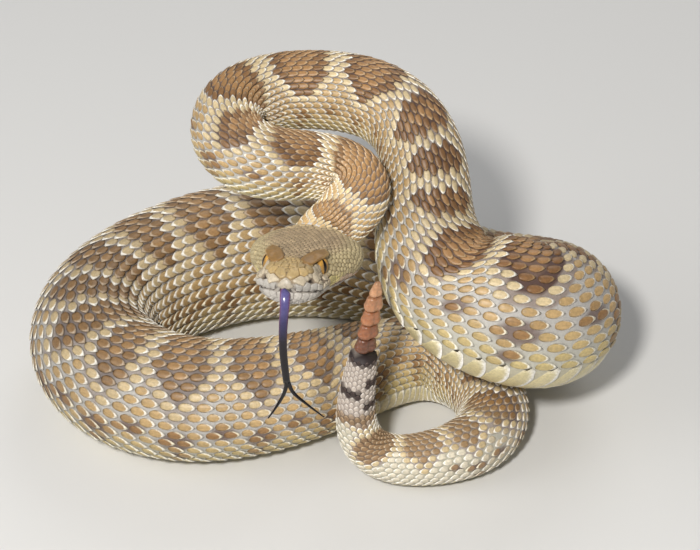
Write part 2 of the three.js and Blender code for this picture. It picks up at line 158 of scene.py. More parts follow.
def add_sum(nodes, links, operation, *inputs):
    """One step of arithmetic on numbers and sockets."""
    node = nodes.new("ShaderNodeMath")
    node.operation = operation
    for socket, value in zip(node.inputs, inputs):
        if isinstance(value, (int, float)):
            socket.default_value = value
        else:
            links.new(value, socket)
    return node.outputs[0]


def paint_shader(nodes, links, shader, tone, strength):
    """Scales a tone by a strength and makes it the shader's colour."""
    blend = nodes.new("ShaderNodeVectorMath")
    blend.operation = "SCALE"
    links.new(tone, blend.inputs[0])
    links.new(strength, blend.inputs["Scale"])
    links.new(blend.outputs["Vector"], shader.inputs["Base Color"])


def add_bump(nodes, links, shader, scale, strength, distance):
    coordinates = nodes.new("ShaderNodeTexCoord")
    grain = add_noise(nodes, links, coordinates.outputs["Object"], scale, 3.0)
    bump = nodes.new("ShaderNodeBump")
    set_numbers(bump, {"Strength": strength, "Distance": distance})
    links.new(grain.outputs["Fac"], bump.inputs["Height"])
    links.new(bump.outputs["Normal"], shader.inputs["Normal"])
    return coordinates, grain


def horn_material(name, roughness, grain_scale, grain_depth, mottle):
    """Painted scale or skin: the tone attribute, varied by a fine noise, with a slight sheen."""
    material, nodes, links, shader = new_material(name)
    tone = add_attribute(nodes, "tone").outputs["Color"]
    coordinates, _ = add_bump(nodes, links, shader, grain_scale, 0.5, grain_depth)
    spots = add_noise(nodes, links, coordinates.outputs["Object"], 1400.0, 4.0)
    strength = add_range(nodes, links, spots.outputs["Fac"], 0.3, 0.7, 1 - mottle, 1 + mottle)
    paint_shader(nodes, links, shader, tone, strength)
    set_numbers(shader, {"Roughness": roughness, "Specular IOR Level": 0.4})
    return material


SKIN_FINISH = horn_material("skin_between_scales", 0.6, 1800.0, 0.0001, 0.10)
print("first material:", SKIN_FINISH.name)

# %% [markdown]
# ## The route of the body
# The body follows one smooth route from the skull to the rattle. Its points are the same as in
# the solids: x, y, height and radius in millimetres, and for each stretch the way the back of
# the snake faces. A lying body takes its height from its radius, because the belly is flat.

# %% The route of the body
BELLY = 0.92
BOX_CENTRE = np.array([-7.6, -57.0, 0.0])


def raised(x, y, z, r):
    return (x, y, z, r)


def lying(x, y, r):
    return (x, y, BELLY * r, r)


STRETCHES = [
    ((0.1, -0.1, 1), [  # neck
        raised(-9.45, -82.8, 74.3, 7.2), raised(-9.2, -79, 73.6, 7.5),
        raised(-4.8, -75.2, 74.8, 7.8), raised(0.6, -71.8, 77.4, 8.3),
        raised(3.9, -67, 79.5, 8.6), raised(1.5, -61, 81, 8.9)]),
    ((0, -0.25, 1), [  # lower band and left end of the S
        raised(-5, -58.5, 82, 9.2), raised(-13, -60, 83.5, 9.7), raised(-21.5, -61.7, 85, 10.2),
        raised(-29.5, -58.5, 86.5, 10.5), raised(-33, -50, 88.8, 10.6),
        raised(-29.5, -41.7, 91, 10.7)]),
    ((0.05, -0.3, 1), [  # upper band
        raised(-20.5, -38, 92, 10.8), raised(-9, -37, 92, 11), raised(3, -38, 91, 11.1),
        raised(12.5, -41.8, 88.5, 11.1)]),
    ((0.45, -0.8, 0.4), [  # falling forebody
        raised(18.6, -47.5, 82.5, 11.2), raised(20.5, -53.2, 74, 12),
        raised(20, -58.5, 64.5, 13.6), raised(22, -64, 55.5, 16.4)]),
    ((0.1, -0.15, 1), [  # right loop
        raised(29, -68.5, 48.5, 18.8), raised(40, -71, 44, 20), raised(50, -68, 39, 20.2),
        raised(55.6, -58, 32, 19.8), raised(54.3, -45.5, 25, 19), raised(47.5, -36, 20, 18.4)]),
    ((0, 0, 1), [  # rear arc and left bend
        lying(36.5, -28, 17.8), lying(24.5, -21.5, 18.2), lying(11, -15.5, 19),
        lying(-7, -11.5, 20), lying(-27, -12, 20.4), lying(-45, -18.5, 20.2),
        lying(-60.5, -28.5, 19.6), lying(-70.5, -42, 19), lying(-71, -57.5, 18.4),
        lying(-61, -70.5, 18)]),
    ((0, 0, 1), [  # front coil, narrowing to the hind turn
        lying(-43.5, -76.3, 17.5), lying(-24, -73.2, 16.3), lying(-6, -64.5, 14.8),
        lying(9.5, -55.5, 13), lying(21.5, -52.3, 11.6), lying(31.5, -56.5, 10.8),
        lying(38, -65, 10.6), lying(40.5, -75, 10.2), lying(35.5, -85, 9.2)]),
    ((0, 0, 1), [  # tail on the floor
        lying(24.5, -90, 8.2), lying(14.5, -91, 7.3), raised(6.5, -90, 8, 6.8)]),
    ((0.6, -0.8, 0.1), [  # tail rising to the rattle
        raised(2, -88.4, 13, 6.4), raised(1.4, -87.2, 20.5, 5.9), raised(2.2, -86.8, 31, 5.2),
        raised(3.8, -86.6, 42, 4.2)]),
]

# %% [markdown]
# A centripetal Catmull-Rom curve runs through the points. It is sampled every half millimetre
# and eased by averaging neighbours, which rounds the bends without moving them much. Arrays of
# places, directions, radii and bends then serve every later step.

# %% Sampling the route
STEP = 0.5
EASING = 192


def catmull_rom(points, per_span=60):
    """A centripetal Catmull-Rom curve through the points, and the point number of each sample."""
    places, numbers = [], []
    last = len(points) - 1
    for i in range(last):
        p1, p2 = points[i], points[i + 1]
        p0 = points[i - 1] if i else 2 * p1 - p2
        p3 = points[i + 2] if i + 2 <= last else 2 * p2 - p1
        d0, d1, d2 = (np.linalg.norm(b - a) ** 0.5 for a, b in ((p0, p1), (p1, p2), (p2, p3)))
        t1 = d1 * ((p1 - p0) / d0 - (p2 - p0) / (d0 + d1) + (p2 - p1) / d1)
        t2 = d1 * ((p2 - p1) / d1 - (p3 - p1) / (d1 + d2) + (p3 - p2) / d2)
        t = np.arange(per_span + (i == last - 1))[:, None] / per_span
        cubic = p1 + t1 * t + (-3 * p1 + 3 * p2 - 2 * t1 - t2) * t ** 2
        places.append(cubic + (2 * p1 - 2 * p2 + t1 + t2) * t ** 3)
        numbers.append(i + t[:, 0])
    return np.concatenate(places), np.concatenate(numbers)


def ease(values, passes):
    values = values.copy()
    for _ in range(passes):
        values[1:-1] = (values[:-2] + 2 * values[1:-1] + values[2:]) / 4
    return values


def unit(vectors):
    return vectors / np.maximum(np.linalg.norm(vectors, axis=-1, keepdims=True), 1e-12)


def slope(values, reach):
    """Difference of an array over a number of samples each way, kept at the ends."""
    index = np.arange(len(values))
    high, low = np.minimum(index + reach, len(values) - 1), np.maximum(index - reach, 0)
    return (values[high] - values[low]) / ((high - low) * STEP)[:, None]


def sample_route():
    rows = np.array([point for _, points in STRETCHES for point in points], float)
    backs = np.array([back for back, points in STRETCHES for _ in points], float)
    fine, numbers = catmull_rom(rows[:, :3])
    length = np.concatenate([[0], np.cumsum(np.linalg.norm(np.diff(fine, axis=0), axis=1))])
    stops = np.linspace(0, length[-1], int(round(length[-1] / STEP)) + 1)
    number = np.interp(stops, length, numbers)
    spread = np.arange(len(rows))
    table = [np.interp(stops, length, fine[:, k]) for k in range(3)]
    table += [np.interp(number, spread, rows[:, 3])]
    table += [np.interp(number, spread, backs[:, k]) for k in range(3)]
    table = ease(np.stack(table, 1), EASING)
    place, radius = table[:, :3], table[:, 3]
    ahead = unit(slope(place, 4))
    back = table[:, 4:]
    back = unit(back - ahead * np.sum(back * ahead, 1, keepdims=True))
    bend = slope(ahead, 6)
    bend -= ahead * np.sum(bend * ahead, 1, keepdims=True)
    return {"place": place, "radius": radius, "ahead": ahead, "back": back,
            "side": np.cross(back, ahead), "bend": bend, "number": number}


route = sample_route()
LAST = len(route["radius"]) - 1
print("route:", round(LAST * STEP), "mm from skull to rattle")

# %% [markdown]
# ## A point on the skin
# Everything that lies on the body asks for a point by how far along it is and by its angle from
# the spine. The section is round with a flat belly. On the inner side of a tight bend the flesh
# is pressed in, so that the sections never cross.

# %% A point on the skin
INNER_BEND = 0.8
INNER_EASE = 0.55


def along(key, index):
    """An array of the route at fractional sample numbers."""
    index = np.clip(index, 0, LAST)
    low = np.minimum(index.astype(int), LAST - 1)
    share = index - low
    values = route[key]
    if values.ndim == 2:
        share = share[..., None]
    return values[low] * (1 - share) + values[low + 1] * share


def skin_point(distance, angle, lift=0.0):
    """Points, in route millimetres, at distances along and angles round the body."""
    distance, angle = np.broadcast_arrays(np.asarray(distance, float), np.asarray(angle, float))
    index = distance / STEP
    radius = along("radius", index)
    up = np.maximum(-BELLY * radius - lift, (radius + lift) * np.cos(angle))
    offset = along("back", index) * up[..., None]
    offset += along("side", index) * ((radius + lift) * np.sin(angle))[..., None]
    bend = along("bend", index)
    tight = np.linalg.norm(bend, axis=-1)
    inward = bend / np.maximum(tight, 1e-6)[..., None]
    reach = np.sum(offset * inward, -1)
    limit = INNER_BEND / np.maximum(tight, 1e-4)
    start = INNER_EASE * limit
    eased = start + (limit - start) * np.tanh(np.maximum(reach - start, 0) / (limit - start))
    change = np.where(reach > start, eased - reach, 0.0)
    return along("place", index) + offset + inward * change[..., None]


def to_scene(points):
    """Route millimetres to metres in the part's own frame, not below the floor."""
    points = (points - BOX_CENTRE) * MM
    points[..., 2] = np.maximum(points[..., 2], 0.0)
    return points


print("top of the raised coil:", round(float(skin_point(105.0, 0.0)[2])), "mm")

# %% [markdown]
# ## Where the markings lie
# The pattern is read from two numbers: how many scales down the body a place is, and how many
# scale rows it is from the spine. Pale crossbars part the dark blotches. The bars come at
# uneven distances, as on a real snake, and the body is rolled a little here and there, so the
# spine line doesn't always lie on top. Three more curves along the body say how far it is rolled,
# how bright it is and how strongly the blotches stand out. The brightness is partly the snake's
# own tone and partly painted shade, darker where the body faces away from the lamp, as at the
# left bend and the far end of the right loop.

# %% Where the markings lie
SPINE_SPAN = math.radians(256.0)
PITCH_AT_20MM = 3.95
BARS = np.array([
    2, 15.6, 38.4, 56.4, 72.2, 89.6, 108.8, 126.8, 137.8, 147, 156.4, 180.4, 206, 224, 242,
    260, 278, 296, 314, 333, 352.4, 368, 382.2, 393.8, 406.6, 421.6, 439.2, 456.2, 473, 489,
    504, 518, 532, 546.2, 556.2, 570.6, 588.2, 600.0, 640.0])
ROLL = np.array([
    (0, 0), (8, -15), (18, -15), (30, -12), (45, -19), (64, -21), (80, 0), (95, 14), (125, 14),
    (140, -6), (150, -6), (166, 28), (180, 33), (205, 33), (235, 20), (270, 4), (300, 0),
    (465, 0), (484, 36), (500, 40), (520, 14), (545, -4), (580, -6), (596, 20), (615, 22)])
# Partly the snake's own tone and partly painted shade: darker where the body faces away from the
# lamp, as at the left bend and the far end of the right loop.
PAINTED_SHADE_AND_TONE = np.array([
    (0, 1.3), (30, 1.25), (50, 1.0), (64, 0.9), (85, 0.9), (100, 1.02), (120, 1.0), (138, 0.86),
    (158, 0.84), (172, 1.05), (206, 1.06), (225, 0.8), (300, 0.92), (352, 0.9), (372, 0.78),
    (405, 0.78), (425, 0.92), (450, 1.0), (470, 1.05), (500, 1.05), (520, 0.92), (545, 0.95),
    (556, 1.05), (615, 1.05)])
CONTRAST = np.array([
    (0, 0.7), (40, 0.9), (205, 1.0), (225, 0.9), (262, 0.8), (300, 0.75), (470, 0.7),
    (500, 0.75), (545, 0.75), (556, 0.65), (585, 1.0)])


def read_curve(curve, distance):
    return np.interp(distance, curve[:, 0], curve[:, 1])


ROUTE_DISTANCE = np.arange(LAST + 1) * STEP
BODY_LENGTH = ROUTE_DISTANCE[-1]
PITCH = PITCH_AT_20MM * (route["radius"] / 20.0) ** 0.6
SCALE_COUNT = np.concatenate([[0], np.cumsum(STEP / PITCH)[:-1]])
BAR_COUNTS = np.interp(BARS, ROUTE_DISTANCE, SCALE_COUNT)


def distance_at(count):
    return np.interp(count, SCALE_COUNT, ROUTE_DISTANCE)


def body_point(distance, from_spine, lift=0.0):
    """A point by its angle from the spine line, which rolls about the body."""
    return skin_point(distance, from_spine + np.radians(read_curve(ROLL, distance)), lift)


print("scales from head to rattle:", round(float(SCALE_COUNT[-1])), "blotches:", len(BARS) - 3)

# %% [markdown]
# ## The pattern itself
# Inside a blotch the scales are orange-brown, its border scales are dark, and one row of cream
# scales outlines it. The flanks are tan scales on pale skin, with small dark spots in line with
# the blotches. The tail is ash-grey with black half rings. The function gives each place the
# colour of the scale's middle, of its rim, and of the skin between scales.

# %% The pattern itself
TONES = {name: paint(code) for name, code in {
    "blotch": "#9a7349", "blotch_rim": "#b8986f", "blotch_skin": "#6b5549",
    "border": "#7a5735", "border_rim": "#9c7c55", "border_skin": "#543f38",
    "outline": "#cbb78f", "outline_rim": "#f3eee2", "outline_skin": "#8d7f76",
    "flank": "#b39567", "flank_rim": "#e8e1d3", "flank_skin": "#aeaaa4",
    "low": "#bba875", "low_rim": "#e9e4d4", "low_skin": "#b6b3a6",
    "spot": "#86613a", "spot_rim": "#e6dcc0", "spot_skin": "#67524a",
    "tail": "#bdb0a4", "tail_rim": "#d3cac0", "tail_skin": "#9e9288",
    "ring": "#3a2d2a", "ring_rim": "#51423d", "ring_skin": "#2c2322",
    "band": "#8f7457", "band_rim": "#aa9274", "band_skin": "#73604e",
    "tail_base": "#d0c6b0", "tail_base_rim": "#e8e4da", "tail_base_skin": "#aaa592",
    "belly": "#d2c496", "belly_rim": "#e6e2da", "belly_skin": "#beb7a0",
}.items()}
PARTS = ("", "_rim", "_skin")
TAIL_RINGS = [  # distance, first and last angle from the spine, kind
    (593.0, -115, 115, "band"), (597.4, -115, -2, "ring"), (601.2, 2, 115, "ring"),
    (604.8, -115, -4, "ring"), (611.6, -128, 128, "ring")]


def tone_arrays(shape, name):
    return [np.broadcast_to(TONES[name + part], shape + (3,)).copy() for part in PARTS]


def repaint(tones, where, name, strength=1.0):
    share = (np.asarray(where, float) * strength)[..., None]
    for layer, part in zip(tones, PARTS):
        layer[...] = layer * (1 - share) + TONES[name + part] * share


def between_bars(distance):
    """The scale count of a place and of the crossbars before and behind it."""
    count = np.interp(distance, ROUTE_DISTANCE, SCALE_COUNT)
    nearest = np.clip(np.searchsorted(BAR_COUNTS, count) - 1, 0, len(BAR_COUNTS) - 2)
    return count, BAR_COUNTS[nearest], BAR_COUNTS[nearest + 1]


def blotch_depth(distance, row):
    """How many scales a place lies inside the outline of its blotch; negative outside."""
    count, start, end = between_bars(distance)
    bar = np.clip(0.17 * (end - start), 0.45, 1.0)
    half = (end - start) / 2 - bar
    off = np.abs(count - (start + end) / 2)
    wide = np.where(distance > 545, 7.4, 6.1)
    corner = (half + 1.6 - off - 0.55 * np.abs(row)) * 0.85
    return np.minimum(np.minimum(half - off, wide - np.abs(row)), corner)


def spot_depth(distance, row):
    """Nearness to the small flank spots below and between the blotches."""
    count, start, end = between_bars(distance)
    phase = (count - start) - (end - start) / 2
    under = 1.0 - np.hypot(phase / 1.1, (np.abs(row) - 9.2) / 1.3)
    beside = 1.0 - np.hypot(np.minimum(count - start, end - count) / 0.9, (np.abs(row) - 8.2))
    lowest = 1.0 - np.hypot(phase / 0.7, (np.abs(row) - 11.4) / 0.8)
    return np.maximum(np.maximum(under, beside * 0.9), lowest * 0.9)


def markings(distance, from_spine, row):
    """Colours of scale middles, rims and skin, at places along and round the body."""
    distance, from_spine, row = np.broadcast_arrays(distance, from_spine, row)
    tones = tone_arrays(distance.shape, "flank")
    repaint(tones, np.clip((np.abs(row) - 8.5) / 3.0, 0, 1), "low")
    repaint(tones, np.clip((distance - 535) / 18, 0, 1), "tail_base")
    spots = np.clip(spot_depth(distance, row) * 3.0, 0, 1)
    repaint(tones, spots * (distance < 560), "spot", 0.85)
    depth = blotch_depth(distance, row)
    repaint(tones, (depth > -0.95) & (depth <= 0), "outline", 0.95)
    repaint(tones, (depth > 0) & (depth <= 0.95), "border")
    repaint(tones, depth > 0.95, "blotch")
    repaint(tones, (depth > 0) & (distance > 540), "band", 0.8)
    faded = ((1 - read_curve(CONTRAST, distance)) * (depth > -0.95))[..., None]
    # painted shade and the snake's own tone along the body, multiplied into every layer
    shade = read_curve(PAINTED_SHADE_AND_TONE, distance)[..., None]
    for layer, part in zip(tones, PARTS):
        layer[...] = (layer * (1 - faded) + TONES["flank" + part] * faded * 0.94) * shade
    repaint(tones, np.clip((distance - 590) / 3, 0, 1), "tail")
    angle = np.degrees(from_spine)
    for place, first, last, kind in TAIL_RINGS:
        near = np.clip(1.9 - np.abs(distance - place) / 0.95, 0, 1)
        repaint(tones, near * (angle > first) * (angle < last), kind)
    belly = np.clip((np.abs(angle) - 126) / 4, 0, 1) * np.clip((600 - distance) / 4, 0, 1)
    repaint(tones, belly, "belly")
    return tones


print("tones:", len(TONES))

# %% [markdown]
# ## The shape of the head
# The head is wide behind, where the venom glands lie, and blunt in front. It is drawn from a few
# sections, as in the solids, with swellings for the brows and glands and hollows for the eyes,
# the heat pits, the nostrils and the line of the mouth. Its colours are given here too.

# %% The shape of the head
HEAD_BASE = np.array([-9.45, -82.8, 74.3])
HEAD_YAW, HEAD_PITCH, HEAD_ROLL = (math.radians(angle) for angle in (10.6, 22.0, 1.5))
HEAD_LENGTH = 37.6
HEAD_SECTIONS = np.array([  # forward, half width, above, below, squareness
    [0, 7.6, 6.6, 6.6, 2.0], [1.2, 10.4, 6.4, 6.8, 2.0], [3, 13.1, 6.1, 7.0, 2.1],
    [6, 14.2, 5.9, 7.2, 2.2], [11, 14.1, 6.0, 7.3, 2.3], [15, 13.2, 6.2, 7.3, 2.4],
    [19, 11.8, 5.9, 7.2, 2.6], [22, 10.7, 5.6, 7.0, 2.8], [25, 10.2, 5.3, 6.9, 2.9],
    [28, 9.8, 5.0, 6.7, 3.0], [31, 9.1, 4.6, 6.5, 3.0], [34, 7.6, 4.0, 6.1, 2.8],
    [36, 5.3, 3.0, 5.2, 2.5], [37.1, 3.2, 2.0, 3.6, 2.2], [37.6, 1.0, 0.7, 1.2, 2.0]])


def turned_head_axes():
    """The head's forward, left and up directions: yaw, then pitch, then roll."""
    forward = np.array([-math.cos(HEAD_PITCH) * math.sin(HEAD_YAW),
                        -math.cos(HEAD_PITCH) * math.cos(HEAD_YAW), math.sin(HEAD_PITCH)])
    level_left = np.array([math.cos(HEAD_YAW), -math.sin(HEAD_YAW), 0.0])
    level_up = np.cross(forward, level_left)
    left = math.cos(HEAD_ROLL) * level_left + math.sin(HEAD_ROLL) * level_up
    return forward, left, np.cross(forward, left)


HEAD_FORWARD, HEAD_LEFT, HEAD_UP = turned_head_axes()
EYE_RADIUS, EYE_PLACE = 3.0, np.array([5.4, 2.0, 25.3])
SOCKET_RADIUS = 3.08


def head_to_route(points):
    """Head places (left, up, forward) to route millimetres."""
    return (HEAD_BASE + points[..., :1] * HEAD_LEFT + points[..., 1:2] * HEAD_UP
            + points[..., 2:3] * HEAD_FORWARD)


def ramp(low, high, value):
    share = np.clip((value - low) / (high - low), 0, 1)
    return share * share * (3 - 2 * share)


def section_size(column, forward):
    """A smooth curve through one column of the head's sections."""
    stops, sizes = HEAD_SECTIONS[:, 0], HEAD_SECTIONS[:, column]
    tangent = np.gradient(sizes, stops)
    k = np.clip(np.searchsorted(stops, forward, side="right") - 1, 0, len(stops) - 2)
    span = stops[k + 1] - stops[k]
    t = (forward - stops[k]) / span
    return ((2 * t ** 3 - 3 * t ** 2 + 1) * sizes[k]
            + (t ** 3 - 2 * t ** 2 + t) * span * tangent[k]
            + (3 * t ** 2 - 2 * t ** 3) * sizes[k + 1]
            + (t ** 3 - t ** 2) * span * tangent[k + 1])


def bowed(value, power):
    return np.sign(value) * np.abs(value) ** (2.0 / power)


def swell(points, centre, radii, height):
    """Lifts points outward near a centre, in a soft round swelling."""
    near = np.sum(((points - np.array(centre)) / np.array(radii)) ** 2, -1, keepdims=True)
    return height * np.exp(-near)


def mouth_height(forward):
    return -4.1 + 0.3 * ramp(9, 22, forward) + 2.2 * ramp(28, 38, forward)


def head_point(forward, angle, lift=0.0, sockets=True):
    """Head places at distances forward and angles from the crown, positive to the left."""
    forward, angle = np.broadcast_arrays(np.asarray(forward, float), np.asarray(angle, float))
    power = np.where(np.cos(angle) > 0, section_size(4, forward), 2.15)
    half = section_size(1, forward)
    above, below = section_size(2, forward), section_size(3, forward)
    up = bowed(np.cos(angle), power)
    across = bowed(np.sin(angle), power)
    narrowing = 1 - np.maximum(up, 0) * (0.2 * ramp(10, 22, forward)
                                         + 0.08 * ramp(20, 28, forward))
    points = np.stack([half * across * narrowing, np.where(up > 0, above, below) * up,
                       forward], -1)
    out = unit(np.stack([points[..., 0] / half ** 2, points[..., 1] / np.maximum(above, 1) ** 2,
                         0.06 * ramp(28, 37, forward)], -1))
    side = np.sign(points[..., :1])
    for left in (-1, 1):
        on_side = (side * left) > -0.5
        points = points + out * on_side * (
            swell(points, (left * 5.8, 5.0, 25.4), (2.6, 1.8, 4.6), 0.45)
            + swell(points, (left * 12.6, -0.4, 11.5), (3.5, 3.5, 6.0), 0.5)
            - swell(points, (left * 8.8, 1.5, 25.4), (3.0, 2.9, 3.0), 2.0)
            - swell(points, (left * 8.2, 1.6, 29.6), (3.0, 2.3, 2.6), 0.9)
            - swell(points, (left * 7.5, -0.3, 30.8), (1.4, 0.9, 0.95), 1.3)
            - swell(points, (left * 6.1, 0.7, 34.6), (1.3, 0.6, 0.75), 1.0))
    groove = np.exp(-((points[..., 1] - mouth_height(forward)) / 0.42) ** 2)
    points = points - out * (groove * 0.75 * ramp(8, 11, forward))[..., None]
    points = points + out * np.asarray(lift, float)[..., None]
    for left in (-1, 1) if sockets else ():
        centre = EYE_PLACE * (left, 1, 1)
        apart = points - centre
        gap = np.linalg.norm(apart, axis=-1, keepdims=True)
        inward = np.array([-left * 1.0, 0.0, 0.0])
        along_in = np.sum(apart * inward, -1, keepdims=True)
        reach = np.sqrt(np.maximum(SOCKET_RADIUS ** 2 - gap ** 2 + along_in ** 2, 0)) - along_in
        points = np.where(gap < SOCKET_RADIUS, points + inward * reach, points)
    return points


HEAD_OPENINGS = [((7.5, -0.3, 30.8), 0.95), ((6.1, 0.7, 34.6), 0.6)]  # pit and nostril
HEAD_TONES = {name: [paint(code) for code in codes] for name, codes in {
    "crown": ("#9d886a", "#b5a182", "#655443"), "neck": ("#b8a27c", "#d0c09e", "#85725c"),
    "cheek": ("#ae9e78", "#c2b390", "#80704f"), "brow": ("#94703f", "#b8955f", "#3a2a20"),
    "snout": ("#a88f62", "#c4ae82", "#78613f"), "nose": ("#b5a78f", "#cfc4b0", "#877866"),
    "front": ("#bba57e", "#d2c09c", "#86745a"), "lip": ("#aaa49b", "#c5c0b9", "#928a80"),
    "patch": ("#c4b478", "#d6cb9c", "#9f8f5c"), "pink": ("#a88c80", "#c0a89e", "#7d6058"),
    "chin": ("#b8b1a8", "#cdc8c2", "#968f88"),
    # painted shade: the pits, the nostrils and the line of the mouth are painted this dark
    "painted_hole_shade": ("#2c1f19", "#2c1f19", "#20150f")}.items()}


def head_zone(points):
    """Shares of each colour over the head, as middle, rim and skin tones."""
    x, y, z = np.abs(points[..., 0]), points[..., 1], points[..., 2]
    above_lip = y - mouth_height(z)
    tones = [np.broadcast_to(tone, x.shape + (3,)).copy() for tone in HEAD_TONES["crown"]]

    def blend(name, share):
        for layer, tone in zip(tones, HEAD_TONES[name]):
            layer[...] = layer * (1 - share[..., None]) + tone * share[..., None]

    blend("neck", 1 - ramp(1, 6, z))
    blend("cheek", (1 - ramp(3.0, 5.2, y)) * (1 - ramp(24, 27, z)))
    blend("snout", ramp(27, 30, z) * ramp(1.6, 2.8, y + 0.25 * (4 - x)))
    blend("nose", ramp(26, 28.5, z) * (1 - ramp(1.6, 2.8, y + 0.25 * (4 - x))))
    blend("front", ramp(35.4, 36.4, z) * (1 - ramp(2.0, 3.4, x)) * ramp(-1.6, -0.8, y))
    blend("lip", (1 - ramp(1.6, 2.4, above_lip)) * ramp(23, 27, z))
    blend("patch", (1 - ramp(2.2, 3.4, above_lip)) * ramp(18.5, 20.5, z) * (1 - ramp(25.5, 27, z)))
    blend("pink", (1 - ramp(0.9, 1.6, above_lip)) * (1 - ramp(19, 22, z)))
    blend("chin", 1 - ramp(-1.5, -0.4, above_lip))
    # painted shade inside the heat pits and the nostrils
    for centre, room in HEAD_OPENINGS:
        apart = np.sqrt((x - centre[0]) ** 2 + (y - centre[1]) ** 2 + (z - centre[2]) ** 2)
        blend("painted_hole_shade", 1 - ramp(room * 0.9, room * 1.15, apart))
    # painted shade along the line of the mouth
    blend("painted_hole_shade", (1 - ramp(0.25, 0.5, np.abs(above_lip))) * ramp(9, 10, z))
    return tones


widest = head_point(11.0, math.radians(90))
print("head:", HEAD_LENGTH, "mm long,", round(2 * float(widest[0]), 1), "mm wide")

# %% [markdown]
# ## One skin from snout to rattle
# The skin is one closed tube. It starts as a flat grid, which a bmesh operator makes. One side
# of the grid is the way along the snake and the other the way round it, so each of its
# vertices moves to its place on the body, and the two long edges are merged into a seam that
# can't be seen. The head is part of the same grid, so there is no joint at the neck.

# %% One skin from snout to rattle
SKIN_SIDES = 96
SKIN_STEP = 1.0
SKIN_INSET = -0.65
HEAD_SKIN_INSET = 0.6 * SKIN_INSET
SNOUT_END = HEAD_LENGTH - 0.25
HEAD_RINGS = 92
ROWS_ROUND_BODY = 25.0  # the pattern counts its rows as if there were this many everywhere


def grid_places(shape, along_count, round_count):
    """The column and row number of each grid vertex."""
    places = np.array([vert.co[:2] for vert in shape.verts])
    columns = np.rint((places[:, 0] + 1) / 2 * along_count).astype(int)
    rows = np.rint((places[:, 1] + 1) / 2 * round_count).astype(int)
    return columns, rows


def paint_points(mesh, name, colours):
    layer = mesh.attributes.new(name, "FLOAT_COLOR", "POINT")
    rgba = np.ones((len(mesh.vertices), 4), np.float32)
    rgba[:, :3] = np.clip(colours, 0, 1)
    layer.data.foreach_set("color", rgba.ravel())


def add_object(name, mesh, material):
    piece = bpy.data.objects.new(name, mesh)
    bpy.context.scene.collection.objects.link(piece)
    piece.data.materials.append(material)
    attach(piece, "root")
    return piece


def mesh_from(name, shape):
    """Turns a finished bmesh into a mesh and frees it."""
    mesh = bpy.data.meshes.new(name)
    shape.to_mesh(mesh)
    shape.free()
    return mesh


def close_ends(shape):
    """Fills the open edges and turns every face outwards."""
    bmesh.ops.holes_fill(shape, edges=[e for e in shape.edges if e.is_boundary], sides=0)
    bmesh.ops.recalc_face_normals(shape, faces=shape.faces)


def wrap_tube(name, rings, colours, material, unwrap=None):
    """Rolls a grid into a closed tube through rings of points, with its two ends filled."""
    count, sides = rings.shape[0] - 1, rings.shape[1]
    shape = bmesh.new()
    bmesh.ops.create_grid(shape, x_segments=count, y_segments=sides, size=1.0)
    columns, rows = grid_places(shape, count, sides)
    places = rings[columns, rows % sides]
    sheet = shape.loops.layers.uv.new("OFBake") if unwrap is not None else None
    tone = shape.verts.layers.float_color.new("tone")
    for vert, place, column, row in zip(shape.verts, places, columns, rows):
        if sheet:
            spot = (unwrap[column], row / sides)
            for loop in vert.link_loops:
                loop[sheet].uv = spot
        vert[tone] = (*colours[column, row % sides], 1.0)
        vert.co = place
    bmesh.ops.remove_doubles(shape, verts=shape.verts, dist=1e-7)
    close_ends(shape)
    for face in shape.faces:
        face.smooth = True
    return add_object(name, mesh_from(name, shape), material)


def make_skin():
    turn = np.arange(SKIN_SIDES) / SKIN_SIDES * 2 * math.pi
    forward = SNOUT_END - SNOUT_END * np.arange(HEAD_RINGS) / HEAD_RINGS
    head = head_to_route(head_point(forward[:, None], -turn[None, :], HEAD_SKIN_INSET))
    distance = np.arange(0.0, BODY_LENGTH, SKIN_STEP)
    body = skin_point(distance[:, None], turn[None, :], SKIN_INSET)
    rings = to_scene(np.concatenate([head, body]))
    spine = turn[None, :] - np.radians(read_curve(ROLL, distance))[:, None]
    spine = (spine + math.pi) % (2 * math.pi) - math.pi
    row = spine / SPINE_SPAN * ROWS_ROUND_BODY
    bare = head_point(forward[:, None], -turn[None, :])
    tone = np.concatenate([head_zone(bare)[2], markings(distance[:, None], spine, row)[2]])
    travelled = np.concatenate([HEAD_LENGTH - forward, HEAD_LENGTH + distance])
    unwrap = travelled / (HEAD_LENGTH + BODY_LENGTH)
    skin = wrap_tube("skin", rings, tone, SKIN_FINISH, unwrap)
    flesh = [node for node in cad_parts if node.startswith((
        "neck", "forebody", "right_loop", "back_branch", "rear_arc", "left_bend",
        "front_coil", "hind_turn", "tail_")) or node == "head"]
    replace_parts(skin, *flesh)
    return skin


skin = make_skin()
print("skin:", len(skin.data.polygons), "faces")

# %% [markdown]
# ## One scale
# Each scale is a low dome with a pointed hind end, a fine keel along the middle and a flat
# underside, in a few dozen faces. It starts as a small grid, bent to a leaf outline. Thousands
# of copies are then laid on the body in one joined mesh, each bent to the skin beneath it.
# Three attributes go with every copy: the colours of its middle and its rim, and the place on
# the leaf, which the material uses to draw a crisp pale edge.

# %% One scale
BAKE_PATCH = 0.003


def template_arrays(name, shape):
    """Closes a small shape and reads its vertices and faces into arrays."""
    close_ends(shape)
    mesh = mesh_from(name, shape)
    places = np.empty(len(mesh.vertices) * 3)
    mesh.vertices.foreach_get("co", places)
    corners = np.empty(len(mesh.loops), int)
    mesh.loops.foreach_get("vertex_index", corners)
    sizes = np.array([len(face.vertices) for face in mesh.polygons])
    bpy.data.meshes.remove(mesh)
    return {"places": places.reshape(-1, 3), "corners": corners, "sizes": sizes}


